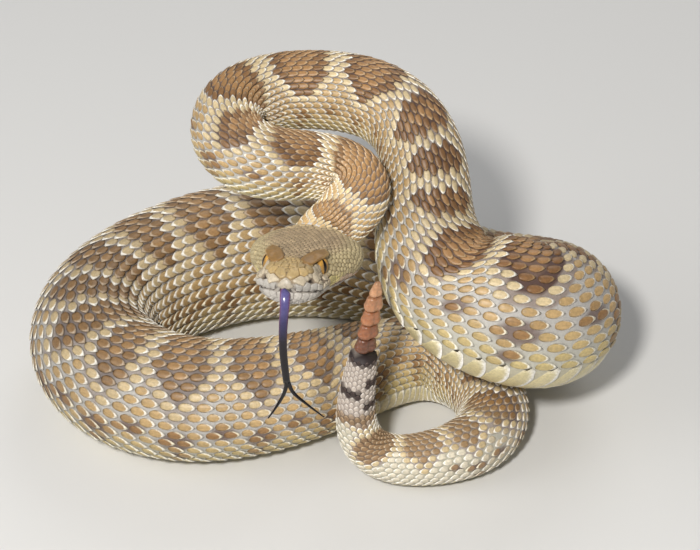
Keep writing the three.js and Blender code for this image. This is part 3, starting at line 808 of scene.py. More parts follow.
def leaf_template(grid_across, grid_along, pointed):
    """Leaf outline with x from front to tip and y across; z is 1 on the crown, 0 on the rim."""
    shape = bmesh.new()
    bmesh.ops.create_grid(shape, x_segments=grid_along, y_segments=grid_across, size=1.0)
    for vert in shape.verts:
        x, y = vert.co.x, vert.co.y
        a, b = x * math.sqrt(1 - y * y / 2), y * math.sqrt(1 - x * x / 2)
        rim = max(abs(x), abs(y))
        vert.co = (a, b * (1 - pointed * max(a, 0) ** 1.6), 1 - rim ** 4)
    return template_arrays("leaf", shape)


def joined_mesh(name, template, points, roots, middles, rims):
    """One mesh of many copies of a template, with colours and a bake patch for each copy."""
    copies, size = points.shape[:2]
    mesh = bpy.data.meshes.new(name)
    mesh.vertices.add(copies * size)
    mesh.vertices.foreach_set("co", to_scene(points.copy()).astype(np.float32).ravel())
    corners = (template["corners"][None, :] + size * np.arange(copies)[:, None]).ravel()
    sizes = np.tile(template["sizes"], copies)
    mesh.loops.add(len(corners))
    mesh.loops.foreach_set("vertex_index", corners)
    mesh.polygons.add(len(sizes))
    mesh.polygons.foreach_set("loop_start", np.concatenate([[0], np.cumsum(sizes)[:-1]]))
    mesh.polygons.foreach_set("loop_total", sizes)
    mesh.polygons.foreach_set("use_smooth", np.ones(len(sizes), bool))
    leaf = np.empty((copies, size, 3), np.float32)
    leaf[:, :, :2] = template["places"][None, :, :2]
    leaf[:, :, 2] = (np.arange(copies) * 0.618 % 1.0)[:, None]
    layer = mesh.attributes.new("leaf", "FLOAT_VECTOR", "POINT")
    layer.data.foreach_set("vector", leaf.ravel())
    paint_points(mesh, "middle", np.repeat(middles, size, axis=0))
    paint_points(mesh, "rim", np.repeat(rims, size, axis=0))
    sheet = mesh.uv_layers.new(name="OFBake")
    patch = roots[:, None, :] + 0.5 * BAKE_PATCH * template["places"][None, :, :2]
    sheet.data.foreach_set("uv", patch.reshape(-1, 2)[corners].astype(np.float32).ravel())
    mesh.update()
    mesh.validate()
    return mesh


def leaf_material(name, roughness, rim_start, base_dark, coat=0.0, tip_share=0.2):
    """Scale horn with a paler, crisp rim, a darker root and a fine keel, from leaf places."""
    material, nodes, links, shader = new_material(name)
    coordinates, _ = add_bump(nodes, links, shader, 2400.0, 0.5, 0.00006)

    compute = partial(add_sum, nodes, links)
    soft_step = partial(add_range, nodes, links, kind="SMOOTHSTEP")
    middle, rim, leaf = (add_attribute(nodes, label) for label in ("middle", "rim", "leaf"))
    split = nodes.new("ShaderNodeSeparateXYZ")
    links.new(leaf.outputs["Vector"], split.inputs[0])
    grain = add_noise(nodes, links, coordinates.outputs["Object"], 1500.0, 3.0)
    wobble = compute("MULTIPLY_ADD", grain.outputs["Fac"], 0.24, -0.12)
    radial = compute("SQRT", compute("ADD", compute("POWER", split.outputs[0], 2.0),
                                     compute("POWER", split.outputs[1], 2.0)))
    toward_tip = compute("MULTIPLY_ADD", split.outputs[0], tip_share, wobble)
    edge = soft_step(compute("ADD", radial, toward_tip), rim_start, rim_start + 0.3, 0.0, 1.0)
    root = soft_step(split.outputs[0], -1.0, -0.35, base_dark, 1.0)
    keel = soft_step(compute("ABSOLUTE", split.outputs[1]), 0.0, 0.16, 0.9, 1.0)
    mottle = soft_step(grain.outputs["Fac"], 0.3, 0.72, 0.86, 1.1)
    each = compute("MULTIPLY_ADD", split.outputs[2], 0.16, 0.92)
    mixed = nodes.new("ShaderNodeMix")
    mixed.data_type = "RGBA"
    links.new(edge, mixed.inputs["Factor"])
    links.new(middle.outputs["Color"], mixed.inputs["A"])
    links.new(rim.outputs["Color"], mixed.inputs["B"])
    strength = compute("MULTIPLY", compute("MULTIPLY", root, keel),
                       compute("MULTIPLY", mottle, each))
    paint_shader(nodes, links, shader, mixed.outputs["Result"], strength)
    set_numbers(shader, {"Roughness": roughness, "Specular IOR Level": 0.45,
                         "Coat Weight": coat, "Coat Roughness": 0.3})
    return material


LEAF = leaf_template(6, 6, 0.55)
DORSAL_FINISH = leaf_material("keeled_scale_horn", 0.45, 0.72, 0.62, 0.0, 0.42)
BELLY_FINISH = leaf_material("belly_plate_horn", 0.36, 0.8, 0.8, 0.15)
print("one scale:", len(LEAF["sizes"]), "faces")

# %% [markdown]
# ## Scales over the whole body
# The rows run the length of the body, and neighbouring rows are half a scale apart, as in a
# woven net. A scale keeps its real length. On the outside of a bend the skin is stretched, so
# skin shows between the scales, and on the inside they crowd and ride over each other. The hind
# end of each scale stands a little clear of the skin.

# %% Scales over the whole body
ROWS = [(0, 27), (515, 23), (545, 19), (575, 15)]
SCALE_LENGTH = np.array([(0, 1.3), (60, 1.3), (150, 1.3), (178, 1.14), (205, 1.14), (240, 1.3),
                         (352, 1.36), (410, 1.32), (440, 1.16), (480, 1.16), (520, 1.25),
                         (560, 1.2), (615, 1.15)])
SCALE_WIDTH = np.array([(0, 1.04), (150, 1.04), (178, 0.87), (205, 0.87), (240, 1.0), (352, 1.02),
                        (410, 1.0), (440, 0.92), (480, 0.92), (520, 1.04), (560, 1.06),
                        (615, 1.08)])


def row_count(distance):
    starts = np.array([start for start, _ in ROWS])
    return np.array([rows for _, rows in ROWS])[np.searchsorted(starts, distance, "right") - 1]


def scale_places():
    """Distance along, row and number of rows of every dorsal scale."""
    places = []
    for ring in range(1, int(2 * SCALE_COUNT[-1]) - 1):
        distance = float(distance_at(ring / 2))
        rows = int(row_count(distance))
        reach = rows // 2
        for row in range(-reach, reach + 1):
            if (row + ring) % 2 == 0:
                places.append((distance, row, rows))
    return np.array(places, float)


def lay_scales(name, places, template, material):
    distance, row, rows = places.T
    jitter = rng.normal(0, 1, (len(places), 3))
    angle = row * SPINE_SPAN / rows
    ahead = body_point(distance + 0.5, angle) - body_point(distance - 0.5, angle)
    stretch = np.clip(np.linalg.norm(ahead, axis=1), 0.45, 1.7)
    pitch = np.interp(distance, ROUTE_DISTANCE, PITCH)
    half_long = 0.5 * pitch * read_curve(SCALE_LENGTH, distance)
    half_long /= np.where(stretch > 1, stretch ** 0.55, stretch)
    half_long *= 1 + 0.03 * jitter[:, 0]
    half_wide = 0.5 * SPINE_SPAN / rows * read_curve(SCALE_WIDTH, distance)
    half_wide *= 1 + 0.025 * jitter[:, 1] + 0.1 * (np.abs(row) > rows / 2 - 2.1)
    size = pitch / PITCH_AT_20MM
    a, b, crown = template["places"].T[:, None, :]
    keel = np.exp(-(b / 0.12) ** 2) * np.clip(1 - np.abs(row) / 11.5, 0, 1)[:, None]
    rise = 0.62 + 0.5 * np.clip(1 / stretch - 1, 0, 1)
    lift = (SKIN_INSET - 0.12 + size[:, None] * (
        rise[:, None] * (0.5 + 0.5 * a) ** 1.3 + 0.34 * crown + 0.1 * keel * crown))
    points = body_point(distance[:, None] + half_long[:, None] * a,
                        angle[:, None] + half_wide[:, None] * b, lift)
    middles, rims, _ = markings(distance, angle, row * ROWS_ROUND_BODY / rows)
    roots = np.stack([(HEAD_LENGTH + distance) / (HEAD_LENGTH + BODY_LENGTH),
                      0.5 + angle / (2 * math.pi)], 1)
    mesh = joined_mesh(name, template, points, roots, middles, rims)
    return add_object(name, mesh, material)


STRETCH_NAMES = [("forebody_scales", 0, 150), ("right_loop_scales", 150, 262),
                 ("rear_arc_scales", 262, 372), ("left_bend_scales", 372, 470),
                 ("hind_body_scales", 470, 556), ("tail_scales", 556, 616)]
all_places = scale_places()
for name, first, last in STRETCH_NAMES:
    chosen = all_places[(all_places[:, 0] >= first) & (all_places[:, 0] < last)]
    piece = lay_scales(name, chosen, LEAF, DORSAL_FINISH)
    print(name, len(chosen), "scales,", len(piece.data.polygons), "faces")

# %% [markdown]
# ## Belly plates
# Under the body one broad plate answers to each row of scales across the back. Its two ends are
# rounded and show along the lower edge of the raised coil. The plates overlap towards the tail.

# %% Belly plates
def lay_belly_plates():
    template = leaf_template(12, 4, 0.0)
    counts = np.arange(1, int(SCALE_COUNT[-1]) - 1)
    distance = distance_at(counts.astype(float))
    angle = np.full(len(counts), math.pi)
    pitch = np.interp(distance, ROUTE_DISTANCE, PITCH)
    a, b, crown = template["places"].T[:, None, :]
    half_wide = 0.5 * (2 * math.pi - SPINE_SPAN) + math.radians(3.0)
    across = np.sign(b) * np.abs(b) ** 0.9
    size = pitch / PITCH_AT_20MM
    lift = (SKIN_INSET - 0.1 + size[:, None] * (0.5 * (0.5 + 0.5 * a) + 0.22 * crown))
    points = body_point(distance[:, None] + 0.66 * pitch[:, None] * a,
                        angle[:, None] + half_wide * across, lift)
    middles, rims, _ = markings(distance, angle, np.full(len(counts), 17.0))
    roots = np.stack([(HEAD_LENGTH + distance) / (HEAD_LENGTH + BODY_LENGTH),
                      np.full(len(counts), 0.995)], 1)
    mesh = joined_mesh("belly_plates", template, points, roots, middles, rims)
    return add_object("belly_plates", mesh, BELLY_FINISH)


plates = lay_belly_plates()
print("belly plates:", len(plates.data.polygons), "faces")

# %% [markdown]
# ## Laying plates on the head
# The plates of a snake's head fit together like paving, with fine grooves between them. So each
# plate is a seed with a size, and its outline runs half way to its neighbours in every
# direction. A few large plates have outlines of their own, and the others stop short of them.
# The bare head is held as a search tree of its faces. A plate starts flat in front of its
# place, and each vertex drops to the nearest point of the head and rises by its own height.

# %% Laying plates on the head
def head_tree():
    """The head without its scales and sockets, as a search tree in head millimetres."""
    turn = np.radians(np.arange(0, 360, 3))
    forward = np.concatenate([np.arange(-1.0, 34.0, 0.4), np.arange(34.0, HEAD_LENGTH, 0.2)])
    rings = head_point(forward[:, None], turn[None, :], HEAD_SKIN_INSET, sockets=False)
    count, sides = rings.shape[:2]
    places = [Vector(place) for place in rings.reshape(-1, 3)]
    faces = [(i * sides + j, i * sides + (j + 1) % sides, (i + 1) * sides + (j + 1) % sides,
              (i + 1) * sides + j) for i in range(count - 1) for j in range(sides)]
    faces.append(tuple((count - 1) * sides + j for j in range(sides)))
    return BVHTree.FromPolygons(places, faces)


def on_head(place):
    """The nearest point of the bare head and the direction out of it."""
    spot, normal, _, _ = HEAD_TREE.find_nearest(Vector(place))
    if normal.dot(spot - Vector((0, 0, min(spot.z - 3.0, 28.0)))) < 0:
        normal = -normal
    return spot, normal


def seed(place, size, height=0.3, heading=(0.0, 0.0, -1.0), outline=None):
    """One plate to be: where it sits, how large it is and which way its hind end points."""
    spot, normal = on_head(place)
    back = Vector(heading) - normal * normal.dot(Vector(heading))
    back.normalize()
    edge = None
    if outline:
        edge = [Vector(corner) if abs(corner[0]) > 6.0 else on_head(corner)[0]
                for corner in outline]
    return {"spot": spot, "normal": normal, "back": back, "across": normal.cross(back),
            "size": size, "height": height, "outline": edge}


def plate_template(directions, profile):
    """A disc spun from a profile of radius and height shares, closed underneath."""
    shape = bmesh.new()
    line = [shape.verts.new((radius, 0.0, height)) for radius, height in profile]
    edges = [shape.edges.new(pair) for pair in zip(line, line[1:])]
    bmesh.ops.spin(shape, geom=line + edges, cent=(0, 0, 0), axis=(0, 0, 1), dvec=(0, 0, 0),
                   angle=2 * math.pi, steps=directions, use_merge=True, use_duplicate=False)
    bmesh.ops.remove_doubles(shape, verts=shape.verts, dist=1e-5)
    return template_arrays("plate", shape)


def ordered_corners(own):
    """The corners of a plate with an outline of its own, by their bearing from its middle."""
    away = [corner - own["spot"] for corner in own["outline"]]
    bearing = np.array([math.atan2(v.dot(own["across"]), v.dot(own["back"])) for v in away])
    order = np.argsort(bearing)
    return bearing[order], np.array([tuple(own["outline"][k]) for k in order])


def seed_outline(own, others, turns):
    """How far a plate reaches in each direction: half way to each neighbour."""
    reach = np.full(len(turns), own["size"] * 1.6)
    if own["outline"]:
        bearing, corners = ordered_corners(own)
        away = corners - np.array(own["spot"])
        flat = np.hypot(away @ np.array(own["back"]), away @ np.array(own["across"]))
        return np.interp(turns, bearing, flat, period=2 * math.pi) * 0.96
    for other, share in others:
        away = other - own["spot"]
        x, y = away.dot(own["back"]), away.dot(own["across"])
        distance = away.length * share
        facing = np.cos(turns - math.atan2(y, x))
        reach = np.minimum(reach, np.where(facing > 0.05, distance / np.maximum(facing, 0.05), 99))
    return np.maximum(0.5 * reach + 0.25 * (np.roll(reach, 1) + np.roll(reach, -1)) - 0.05, 0.1)


def clear_of_eye(place, lift):
    """A place on a plate, moved out of the eyeball beneath it where it would cut in."""
    side = math.copysign(1.0, place.x)
    middle = Vector((side * EYE_PLACE[0], EYE_PLACE[1], EYE_PLACE[2]))
    away = place - middle
    clear = EYE_RADIUS + 0.22 + 0.5 * max(lift, 0.0)
    return middle + away * (clear / away.length) if away.length < clear else place


def brow_sheet(own, turns, radius, lifts):
    """The plate over an eye spans straight between its corners and arches over the eyeball."""
    bearing, corners = ordered_corners(own)
    rim = np.stack([np.interp(turns, bearing, corners[:, k], period=2 * math.pi)
                    for k in range(3)], 1)
    middle = np.array(tuple(own["spot"]))
    places = middle + (rim - middle) * radius[:, None] + np.outer(lifts, own["normal"])
    return [tuple(clear_of_eye(Vector(place), float(lift)))
            for place, lift in zip(places, lifts)]


def crowd_finder(crowd):
    """A search tree of the middles of all seeds."""
    finder = KDTree(len(crowd))
    for number, (spot, _) in enumerate(crowd):
        finder.insert(spot, number)
    finder.balance()
    return finder


def fitted_sheet(own, reach, turns, radius, lifts):
    """A plate's vertices, each dropped on the head and raised by its own height."""
    sheet = []
    for turn, share, far, lift in zip(turns, radius, reach, lifts):
        flat = (own["spot"] + own["back"] * float(math.cos(turn) * share * far)
                + own["across"] * float(math.sin(turn) * share * far))
        foot, out = on_head(flat)
        sheet.append(tuple(foot + out * float(lift)))
    return sheet


def lay_plates(name, seeds, crowd, template, material):
    """Every plate of one kind as one mesh, each fitted to the crowd of all seeds."""
    finder = crowd_finder(crowd)
    disc = template["places"]
    radius = np.hypot(disc[:, 0], disc[:, 1])
    turns = np.arctan2(disc[:, 1], disc[:, 0])
    sheets = []
    for own in seeds:
        near = [(crowd[k][0], own["size"] / (own["size"] + crowd[k][1]))
                for _, k, apart in finder.find_range(own["spot"], own["size"] * 2.6)
                if apart > 1e-3]
        lifts = -0.2 + (own["height"] + 0.2) * disc[:, 2]
        if own["size"] == BROW_SIZE:
            sheets.append(brow_sheet(own, turns, radius, lifts))
        else:
            reach = seed_outline(own, near, turns)
            sheets.append(fitted_sheet(own, reach, turns, radius, lifts))
    spots = np.array([tuple(own["spot"]) for own in seeds])
    middles, rims, _ = head_zone(spots)
    for k, own in enumerate(seeds):
        if own["size"] == BROW_SIZE:
            middles[k], rims[k] = HEAD_TONES["brow"][:2]
    freckle = np.array([noise.noise(own["spot"] * 0.5) for own in seeds])[:, None]
    worn = 1 + 0.3 * freckle + 0.06 * rng.uniform(-1, 1, (len(seeds), 1))
    roots = np.stack([spots[:, 2] / HEAD_LENGTH,
                      0.5 + np.arctan2(spots[:, 0], spots[:, 1]) / (2 * math.pi)], 1)
    mesh = joined_mesh(name, template, head_to_route(np.array(sheets)), roots, middles * worn,
                       rims * worn)
    return add_object(name, mesh, material)


BROW_SIZE = 3.6
PEBBLE_SPACING = 0.78
HEAD_TREE = head_tree()
SHIELD = plate_template(28, [(1.0, 0.0), (1.0, 0.45), (0.94, 0.78), (0.84, 0.93), (0.6, 1.0),
                             (0.3, 1.0), (0.0, 1.0)])
PEBBLE = plate_template(10, [(1.0, 0.0), (0.95, 0.6), (0.62, 0.96), (0.0, 1.0)])
print("bare head ready; plates have", len(SHIELD["sizes"]), "and", len(PEBBLE["sizes"]), "faces")

# %% [markdown]
# ## Where the plates of the head go
# A rattlesnake's crown is covered in small scales, but some plates are large: one over each eye,
# a few on top of the snout, the tall one at its very tip, those round each nostril and under
# each eye, and a row along each lip. They are seeded first. Rings of small scales then fill the
# rest, finest on the crown and larger towards the neck, and keep clear of the eyes, the pits,
# the nostrils and the line of the mouth.

# %% Where the plates of the head go
BROW_OUTLINE = [(8.0, 4.2, 21.4), (6.9, 5.1, 20.8), (5.4, 5.6, 21.6), (3.9, 5.6, 23.8),
                (2.8, 5.4, 26.6), (2.0, 5.1, 29.2), (2.5, 4.8, 30.8), (3.8, 4.5, 31.6),
                (5.3, 4.2, 31.2), (6.4, 4.3, 28.6), (7.5, 4.5, 26.0), (8.1, 4.5, 23.6)]
NOSE_OUTLINE = [(0.0, 2.2, 38.0), (1.0, 1.4, 38.0), (1.9, 0.2, 38.0), (2.7, -1.1, 38.0),
                (1.4, -1.5, 38.0), (0.0, -1.2, 38.0), (-1.4, -1.5, 38.0), (-2.7, -1.1, 38.0),
                (-1.9, 0.2, 38.0), (-1.0, 1.4, 38.0)]
PAIRED_PLATES = [  # place, size and height of the plates that come in pairs
    ((1.7, 3.1, 35.8), 1.5, 0.34), ((3.9, 3.0, 34.6), 1.25, 0.36), ((5.3, 3.6, 32.8), 1.15, 0.38),
    ((1.0, 5.0, 33.4), 0.95, 0.28), ((3.0, 4.8, 33.0), 0.95, 0.28), ((3.7, 0.8, 36.6), 1.5, 0.36),
    ((7.4, 1.7, 33.2), 1.25, 0.34), ((7.2, 3.1, 31.2), 1.15, 0.34), ((8.4, 1.4, 31.4), 0.9, 0.26),
    ((8.8, -0.1, 32.8), 0.85, 0.26), ((7.4, 3.0, 29.2), 1.0, 0.34), ((8.9, 0.4, 28.9), 1.1, 0.34),
    ((9.8, -1.3, 29.4), 0.95, 0.28), ((9.9, -1.6, 27.2), 1.0, 0.3), ((10.2, -1.6, 25.2), 1.0, 0.3),
    ((1.0, -6.4, 35.2), 1.3, 0.26), ((1.9, -8.0, 32.2), 1.9, 0.24), ((1.9, -8.0, 28.2), 1.7, 0.24)]


def lip_path(side, offset):
    """Even points along a lip, from the middle of the snout back to the corner of the mouth."""
    trail = []
    for turn in np.radians(np.linspace(0, 85, 18)):
        toward = Vector((side * math.sin(turn), 0, math.cos(turn)))
        height = float(mouth_height(37.6 - 2.4 * turn)) + offset
        trail.append(HEAD_TREE.ray_cast(Vector((0.0, height, 30.0)), toward)[0])
    for forward in np.linspace(29.5, 9.0, 40):
        height = float(mouth_height(forward)) + offset
        trail.append(HEAD_TREE.ray_cast(Vector((0.0, height, forward)), Vector((side, 0, 0)))[0])
    return np.array([tuple(spot) for spot in trail])


def lip_seeds(offset, width, first):
    found = []
    for side in (-1, 1):
        path = lip_path(side, offset)
        length = np.concatenate([[0], np.cumsum(np.linalg.norm(np.diff(path, axis=0), axis=1))])
        for place in np.arange(first, length[-1], width):
            centre = [float(np.interp(place, length, path[:, k])) for k in range(3)]
            found.append(seed(centre, 1.12 - 0.2 * place / length[-1], 0.34))
    return found


def shield_seeds():
    found = [seed((0, 0.4, 38.0), 1.7, 0.42, outline=NOSE_OUTLINE)]
    for side in (-1, 1):
        outline = [(side * x, y, z) for x, y, z in BROW_OUTLINE]
        heading = (side * 0.35, 0, -1)
        found.append(seed((side * 5.0, 5.4, 26.2), BROW_SIZE, 0.55, heading, outline))
        found += [seed((side * x, y, z), size, height) for (x, y, z), size, height
                  in PAIRED_PLATES]
        for turn in np.arange(-150, 155, 27.7):
            round_eye = EYE_PLACE + (2.2, 3.3 * -math.cos(math.radians(turn)),
                                     3.3 * math.sin(math.radians(turn)))
            if round_eye[1] < 3.6:
                found.append(seed(round_eye * (side, 1, 1), 0.72, 0.34))
    return found + lip_seeds(1.2, 2.1, 3.3) + lip_seeds(-1.25, 2.1, 1.0)


def is_free(spot):
    """Whether a place on the head is clear of the eyes, pits, nostrils and the mouth line."""
    for left in (-1, 1):
        for centre, room in HEAD_OPENINGS + [(EYE_PLACE, 3.0)]:
            if (spot - Vector(np.array(centre) * (left, 1, 1))).length < room + 0.4:
                return False
    return not (spot.z > 9.5 and abs(spot.y - float(mouth_height(spot.z))) < 0.75)


def pebble_seeds(crowd):
    """Rings of small scales over what the shields leave free."""
    finder = crowd_finder(crowd)
    found, forward, ring = [], 0.2, 0
    while forward < 37.2:
        size = float(np.interp(forward, [0, 4, 14, 24, 30, 38], [2.0, 1.7, 1.4, 1.2, 1.15, 1.1]))
        turn = np.radians(np.arange(0, 361, 2.0))
        edge = head_point(np.full(len(turn), forward), turn, sockets=False)
        length = np.concatenate([[0], np.cumsum(np.linalg.norm(np.diff(edge, axis=0), axis=1))])
        count = max(int(length[-1] / size), 3)
        for number in range(count):
            place = (number + 0.5 * (ring % 2)) / count * length[-1]
            angle = float(np.interp(place, length, turn)) + float(rng.normal(0, 0.008))
            centre = head_point(forward + float(rng.normal(0, 0.07)), angle, sockets=False)
            low = 1 + 0.35 * max(-math.cos(angle), 0.0)
            small = seed(centre, size * 0.5 * low, 0.26, (float(rng.normal(0, 0.15)), 0, -1))
            near = finder.find_range(small["spot"], 2.6)
            if is_free(small["spot"]) and all(
                    apart > PEBBLE_SPACING * (crowd[k][1] + small["size"])
                    for _, k, apart in near):
                found.append(small)
        forward += size * 0.86
        ring += 1
    return found


def head_crowd(shields):
    """Middles and sizes that plates keep clear of, with tiny ones along outlines and openings."""
    tiny = 0.02
    crowd = [(own["spot"], own["size"]) for own in shields if not own["outline"]]
    for own in shields:
        corners = own["outline"] or []
        for first, second in zip(corners, corners[1:] + corners[:1]):
            crowd += [(first.lerp(second, share), tiny) for share in (0.0, 0.33, 0.67)]
        crowd += [(own["spot"].lerp(corner, 0.5), own["size"] * 0.25) for corner in corners]
    for side in (-1, 1):
        for offset in (-0.12, 0.12):
            path = lip_path(side, offset)
            crowd += [(Vector(first).lerp(Vector(second), share), tiny)
                      for first, second in zip(path, path[1:]) for share in (0.0, 0.5)]
        for centre, room in HEAD_OPENINGS:
            for turn in np.radians(np.arange(0, 360, 30)):
                edge = np.array(centre) + (0, room * math.cos(turn), room * math.sin(turn))
                crowd.append((on_head(edge * (side, 1, 1))[0], tiny))
    return crowd


shields = shield_seeds()
crowd = head_crowd(shields)
pebbles = pebble_seeds(crowd)
crowd += [(own["spot"], own["size"]) for own in pebbles]
SHIELD_FINISH = leaf_material("head_shield_horn", 0.42, 0.84, 0.92)
PEBBLE_FINISH = leaf_material("head_pebble_horn", 0.5, 0.72, 0.8)
lay_plates("head_shields", shields, crowd, SHIELD, SHIELD_FINISH)
lay_plates("head_scales", pebbles, crowd, PEBBLE, PEBBLE_FINISH)
print("head:", len(shields), "shields and", len(pebbles), "small scales")

# %% [markdown]
# ## Eyes
# Each eye is a ball deep in its socket under the brow shield. A snake has no lids: a clear,
# glossy scale covers the eye. The iris is golden with dark flecks, and the pupil is a slit
# that stands upright. The ball carries its own gaze frame as an attribute, so the material
# can draw the slit and the iris without any picture.

# %% Eyes
def eye_material():
    material, nodes, links, shader = new_material("golden_eye")
    compute = partial(add_sum, nodes, links)
    gaze = add_attribute(nodes, "gaze")
    split = nodes.new("ShaderNodeSeparateXYZ")
    links.new(gaze.outputs["Vector"], split.inputs[0])
    flecks = add_noise(nodes, links, gaze.outputs["Vector"], 6.0, 5.0)
    height = compute("ABSOLUTE", split.outputs[1])
    width = compute("MULTIPLY", compute("SUBTRACT", 1.0, compute("POWER", height, 2.0)), 0.17)
    slit = compute("GREATER_THAN", compute("ABSOLUTE", split.outputs[0]), width)
    radial = compute("SQRT", compute("ADD", compute("POWER", split.outputs[0], 2.0),
                                     compute("POWER", split.outputs[1], 2.0)))
    ramp_node = nodes.new("ShaderNodeValToRGB")
    ramp_node.color_ramp.elements[0].position = 0.25
    ramp_node.color_ramp.elements[0].color = (0.26, 0.15, 0.05, 1)
    ramp_node.color_ramp.elements[1].position = 0.95
    ramp_node.color_ramp.elements[1].color = (0.05, 0.025, 0.012, 1)
    middle = ramp_node.color_ramp.elements.new(0.62)
    middle.color = (0.52, 0.27, 0.05, 1)
    links.new(compute("MULTIPLY_ADD", flecks.outputs["Fac"], 0.35, compute(
        "SUBTRACT", radial, 0.17)), ramp_node.inputs["Fac"])
    pupil = nodes.new("ShaderNodeMix")
    pupil.data_type = "RGBA"
    pupil.inputs["A"].default_value = (0.004, 0.003, 0.003, 1)
    links.new(slit, pupil.inputs["Factor"])
    links.new(ramp_node.outputs["Color"], pupil.inputs["B"])
    links.new(pupil.outputs["Result"], shader.inputs["Base Color"])
    set_numbers(shader, {"Roughness": 0.45, "Specular IOR Level": 0.1, "Coat Weight": 0.6,
                         "Coat IOR": 1.35, "Coat Roughness": 0.03})
    return material


def make_eye(name, left):
    gaze = Vector((left * 0.86, 0.12, 0.50)).normalized()
    up = Vector((0, 1, 0.12))
    upright = (up - gaze * gaze.dot(up)).normalized()
    sideways = upright.cross(gaze)
    shape = bmesh.new()
    bmesh.ops.create_uvsphere(shape, u_segments=48, v_segments=32, radius=EYE_RADIUS)
    bmesh.ops.rotate(shape, verts=shape.verts, cent=(0, 0, 0),
                     matrix=Vector((0, 0, 1)).rotation_difference(gaze).to_matrix())
    look = []
    for vert in shape.verts:
        direction = vert.co.normalized()
        away = math.acos(max(-1.0, min(1.0, direction.dot(gaze)))) / 0.98
        flat = Vector((direction.dot(sideways), direction.dot(upright)))
        flat = flat.normalized() * away if flat.length > 1e-6 else flat
        look.append((flat.x, flat.y, 0.0))
        vert.co += Vector(EYE_PLACE * (left, 1, 1))
    for face in shape.faces:
        face.smooth = True
    mesh = mesh_from(name, shape)
    points = np.array([tuple(vert.co) for vert in mesh.vertices])
    mesh.vertices.foreach_set("co", to_scene(head_to_route(points)).astype(np.float32).ravel())
    layer = mesh.attributes.new("gaze", "FLOAT_VECTOR", "POINT")
    layer.data.foreach_set("vector", np.array(look, np.float32).ravel())
    return add_object(name, mesh, EYE_FINISH)


EYE_FINISH = eye_material()
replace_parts(make_eye("eye_ball_left", 1), "eye_left")
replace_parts(make_eye("eye_ball_right", -1), "eye_right")
print("eyes:", 2 * EYE_RADIUS, "mm across")

# %% [markdown]
# ## Tongue
# The tongue is a flat strap from the notch in the upper lip, bent down by its own weight and
# forked at the end. It is violet-blue at the root with red edges, and black from half way. Each
# branch is a tapered tube rolled from a grid like the skin.

# %% Tongue
TONGUE_ROOT = np.array([-15.5, -115.2, 85.9])
STRAP = [(0, 0, 0), (-0.4, -3.2, 0.7), (-0.5, -5.2, -1.3), (-0.9, -6.1, -6.4), (-1.1, -5.8, -14.9),
         (-0.4, -4.8, -26.4)]
TINES = [[(-0.2, -4.7, -25.8), (-1.1, -5, -29.8), (-3.2, -5.8, -33.8), (-5.2, -6.6, -36.7)],
         [(-0.2, -4.7, -25.8), (1.2, -5, -29.5), (4.8, -5.8, -32.9), (9, -6.7, -36.3)]]
TONGUE_TONES = [paint(code) for code in ("#57517f", "#332f55", "#17131b", "#120e10")]
TONGUE_EDGE = paint("#7b2c3c")


def strap_rings(points, widths, thickness, sides=20, count=60):
    """Rings of a flat strap along a smooth line through the points."""
    line, _ = catmull_rom(np.array(points, float), 20)
    share = np.linspace(0, 1, len(line))
    even = np.linspace(0, 1, count)
    line = np.stack([np.interp(even, share, line[:, k]) for k in range(3)], 1)
    ahead = unit(np.gradient(line, axis=0))
    wide = unit(np.cross(ahead, np.array([0.0, -0.9, 0.35])))
    thick = np.cross(wide, ahead)
    turn = np.arange(sides) / sides * 2 * math.pi
    width = np.interp(even, [0, 1], widths)[:, None, None] / 2
    depth = np.interp(even, [0, 1], thickness)[:, None, None] / 2
    rings = (line[:, None, :] + wide[:, None, :] * width * np.cos(turn)[None, :, None]
             + thick[:, None, :] * depth * np.sin(turn)[None, :, None])
    return TONGUE_ROOT + rings, turn


def tongue_tones(height, turn):
    share = np.clip(-height / 16.0, 0, 1)[:, None]
    stops = [0, 0.35, 0.75, 1.0]
    tone = np.stack([np.interp(share, stops, [t[k] for t in TONGUE_TONES]) for k in range(3)], -1)
    edge = (np.abs(np.cos(turn)) ** 6)[None, :, None] * (1 - share)[..., None] * 0.8
    return tone * (1 - edge) + TONGUE_EDGE * edge


def make_tongue():
    parts = []
    strands = [(STRAP, (2.8, 1.8), (1.2, 1.0))]
    strands += [(tine, (1.25, 0.35), (0.95, 0.35)) for tine in TINES]
    for points, widths, thickness in strands:
        rings, turn = strap_rings(points, widths, thickness)
        tone = tongue_tones(rings[:, 0, 2] - TONGUE_ROOT[2], turn)
        parts.append(wrap_tube("tongue_part", to_scene(rings), tone, TONGUE_FINISH))
    shape = bmesh.new()
    for part in parts:
        shape.from_mesh(part.data)
        bpy.data.objects.remove(part)
    return add_object("forked_tongue", mesh_from("forked_tongue", shape), TONGUE_FINISH)


TONGUE_FINISH = horn_material("wet_tongue", 0.22, 900.0, 0.00008, 0.12)
tongue = make_tongue()
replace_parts(tongue, "tongue")
print("tongue:", len(tongue.data.polygons), "faces")

# %% [markdown]
# ## Rattle
# The rattle is a string of hollow horn segments, each a bell gripping the one before. Every bell
# has two bulging rings and a groove down each broad face. The horn is brown at the base, and
# paler and more see-through towards the worn end.

# %% Rattle
RATTLE_PITCH, RATTLE_WIDTH, RATTLE_THICKNESS = 4.6, 6.5, 4.7
RATTLE_PIECES = 5
BELL = np.array([(0, 0.3), (0.04, 0.66), (0.1, 0.84), (0.22, 0.97), (0.36, 1.0), (0.48, 0.95),
                 (0.58, 0.86), (0.66, 0.88), (0.78, 0.84), (0.9, 0.76), (1.0, 0.66), (1.02, 0.3)])
RATTLE_TONES = [paint(code) for code in ("#6b4330", "#8d5a3d", "#a06a48", "#ab7a58", "#b98a66")]


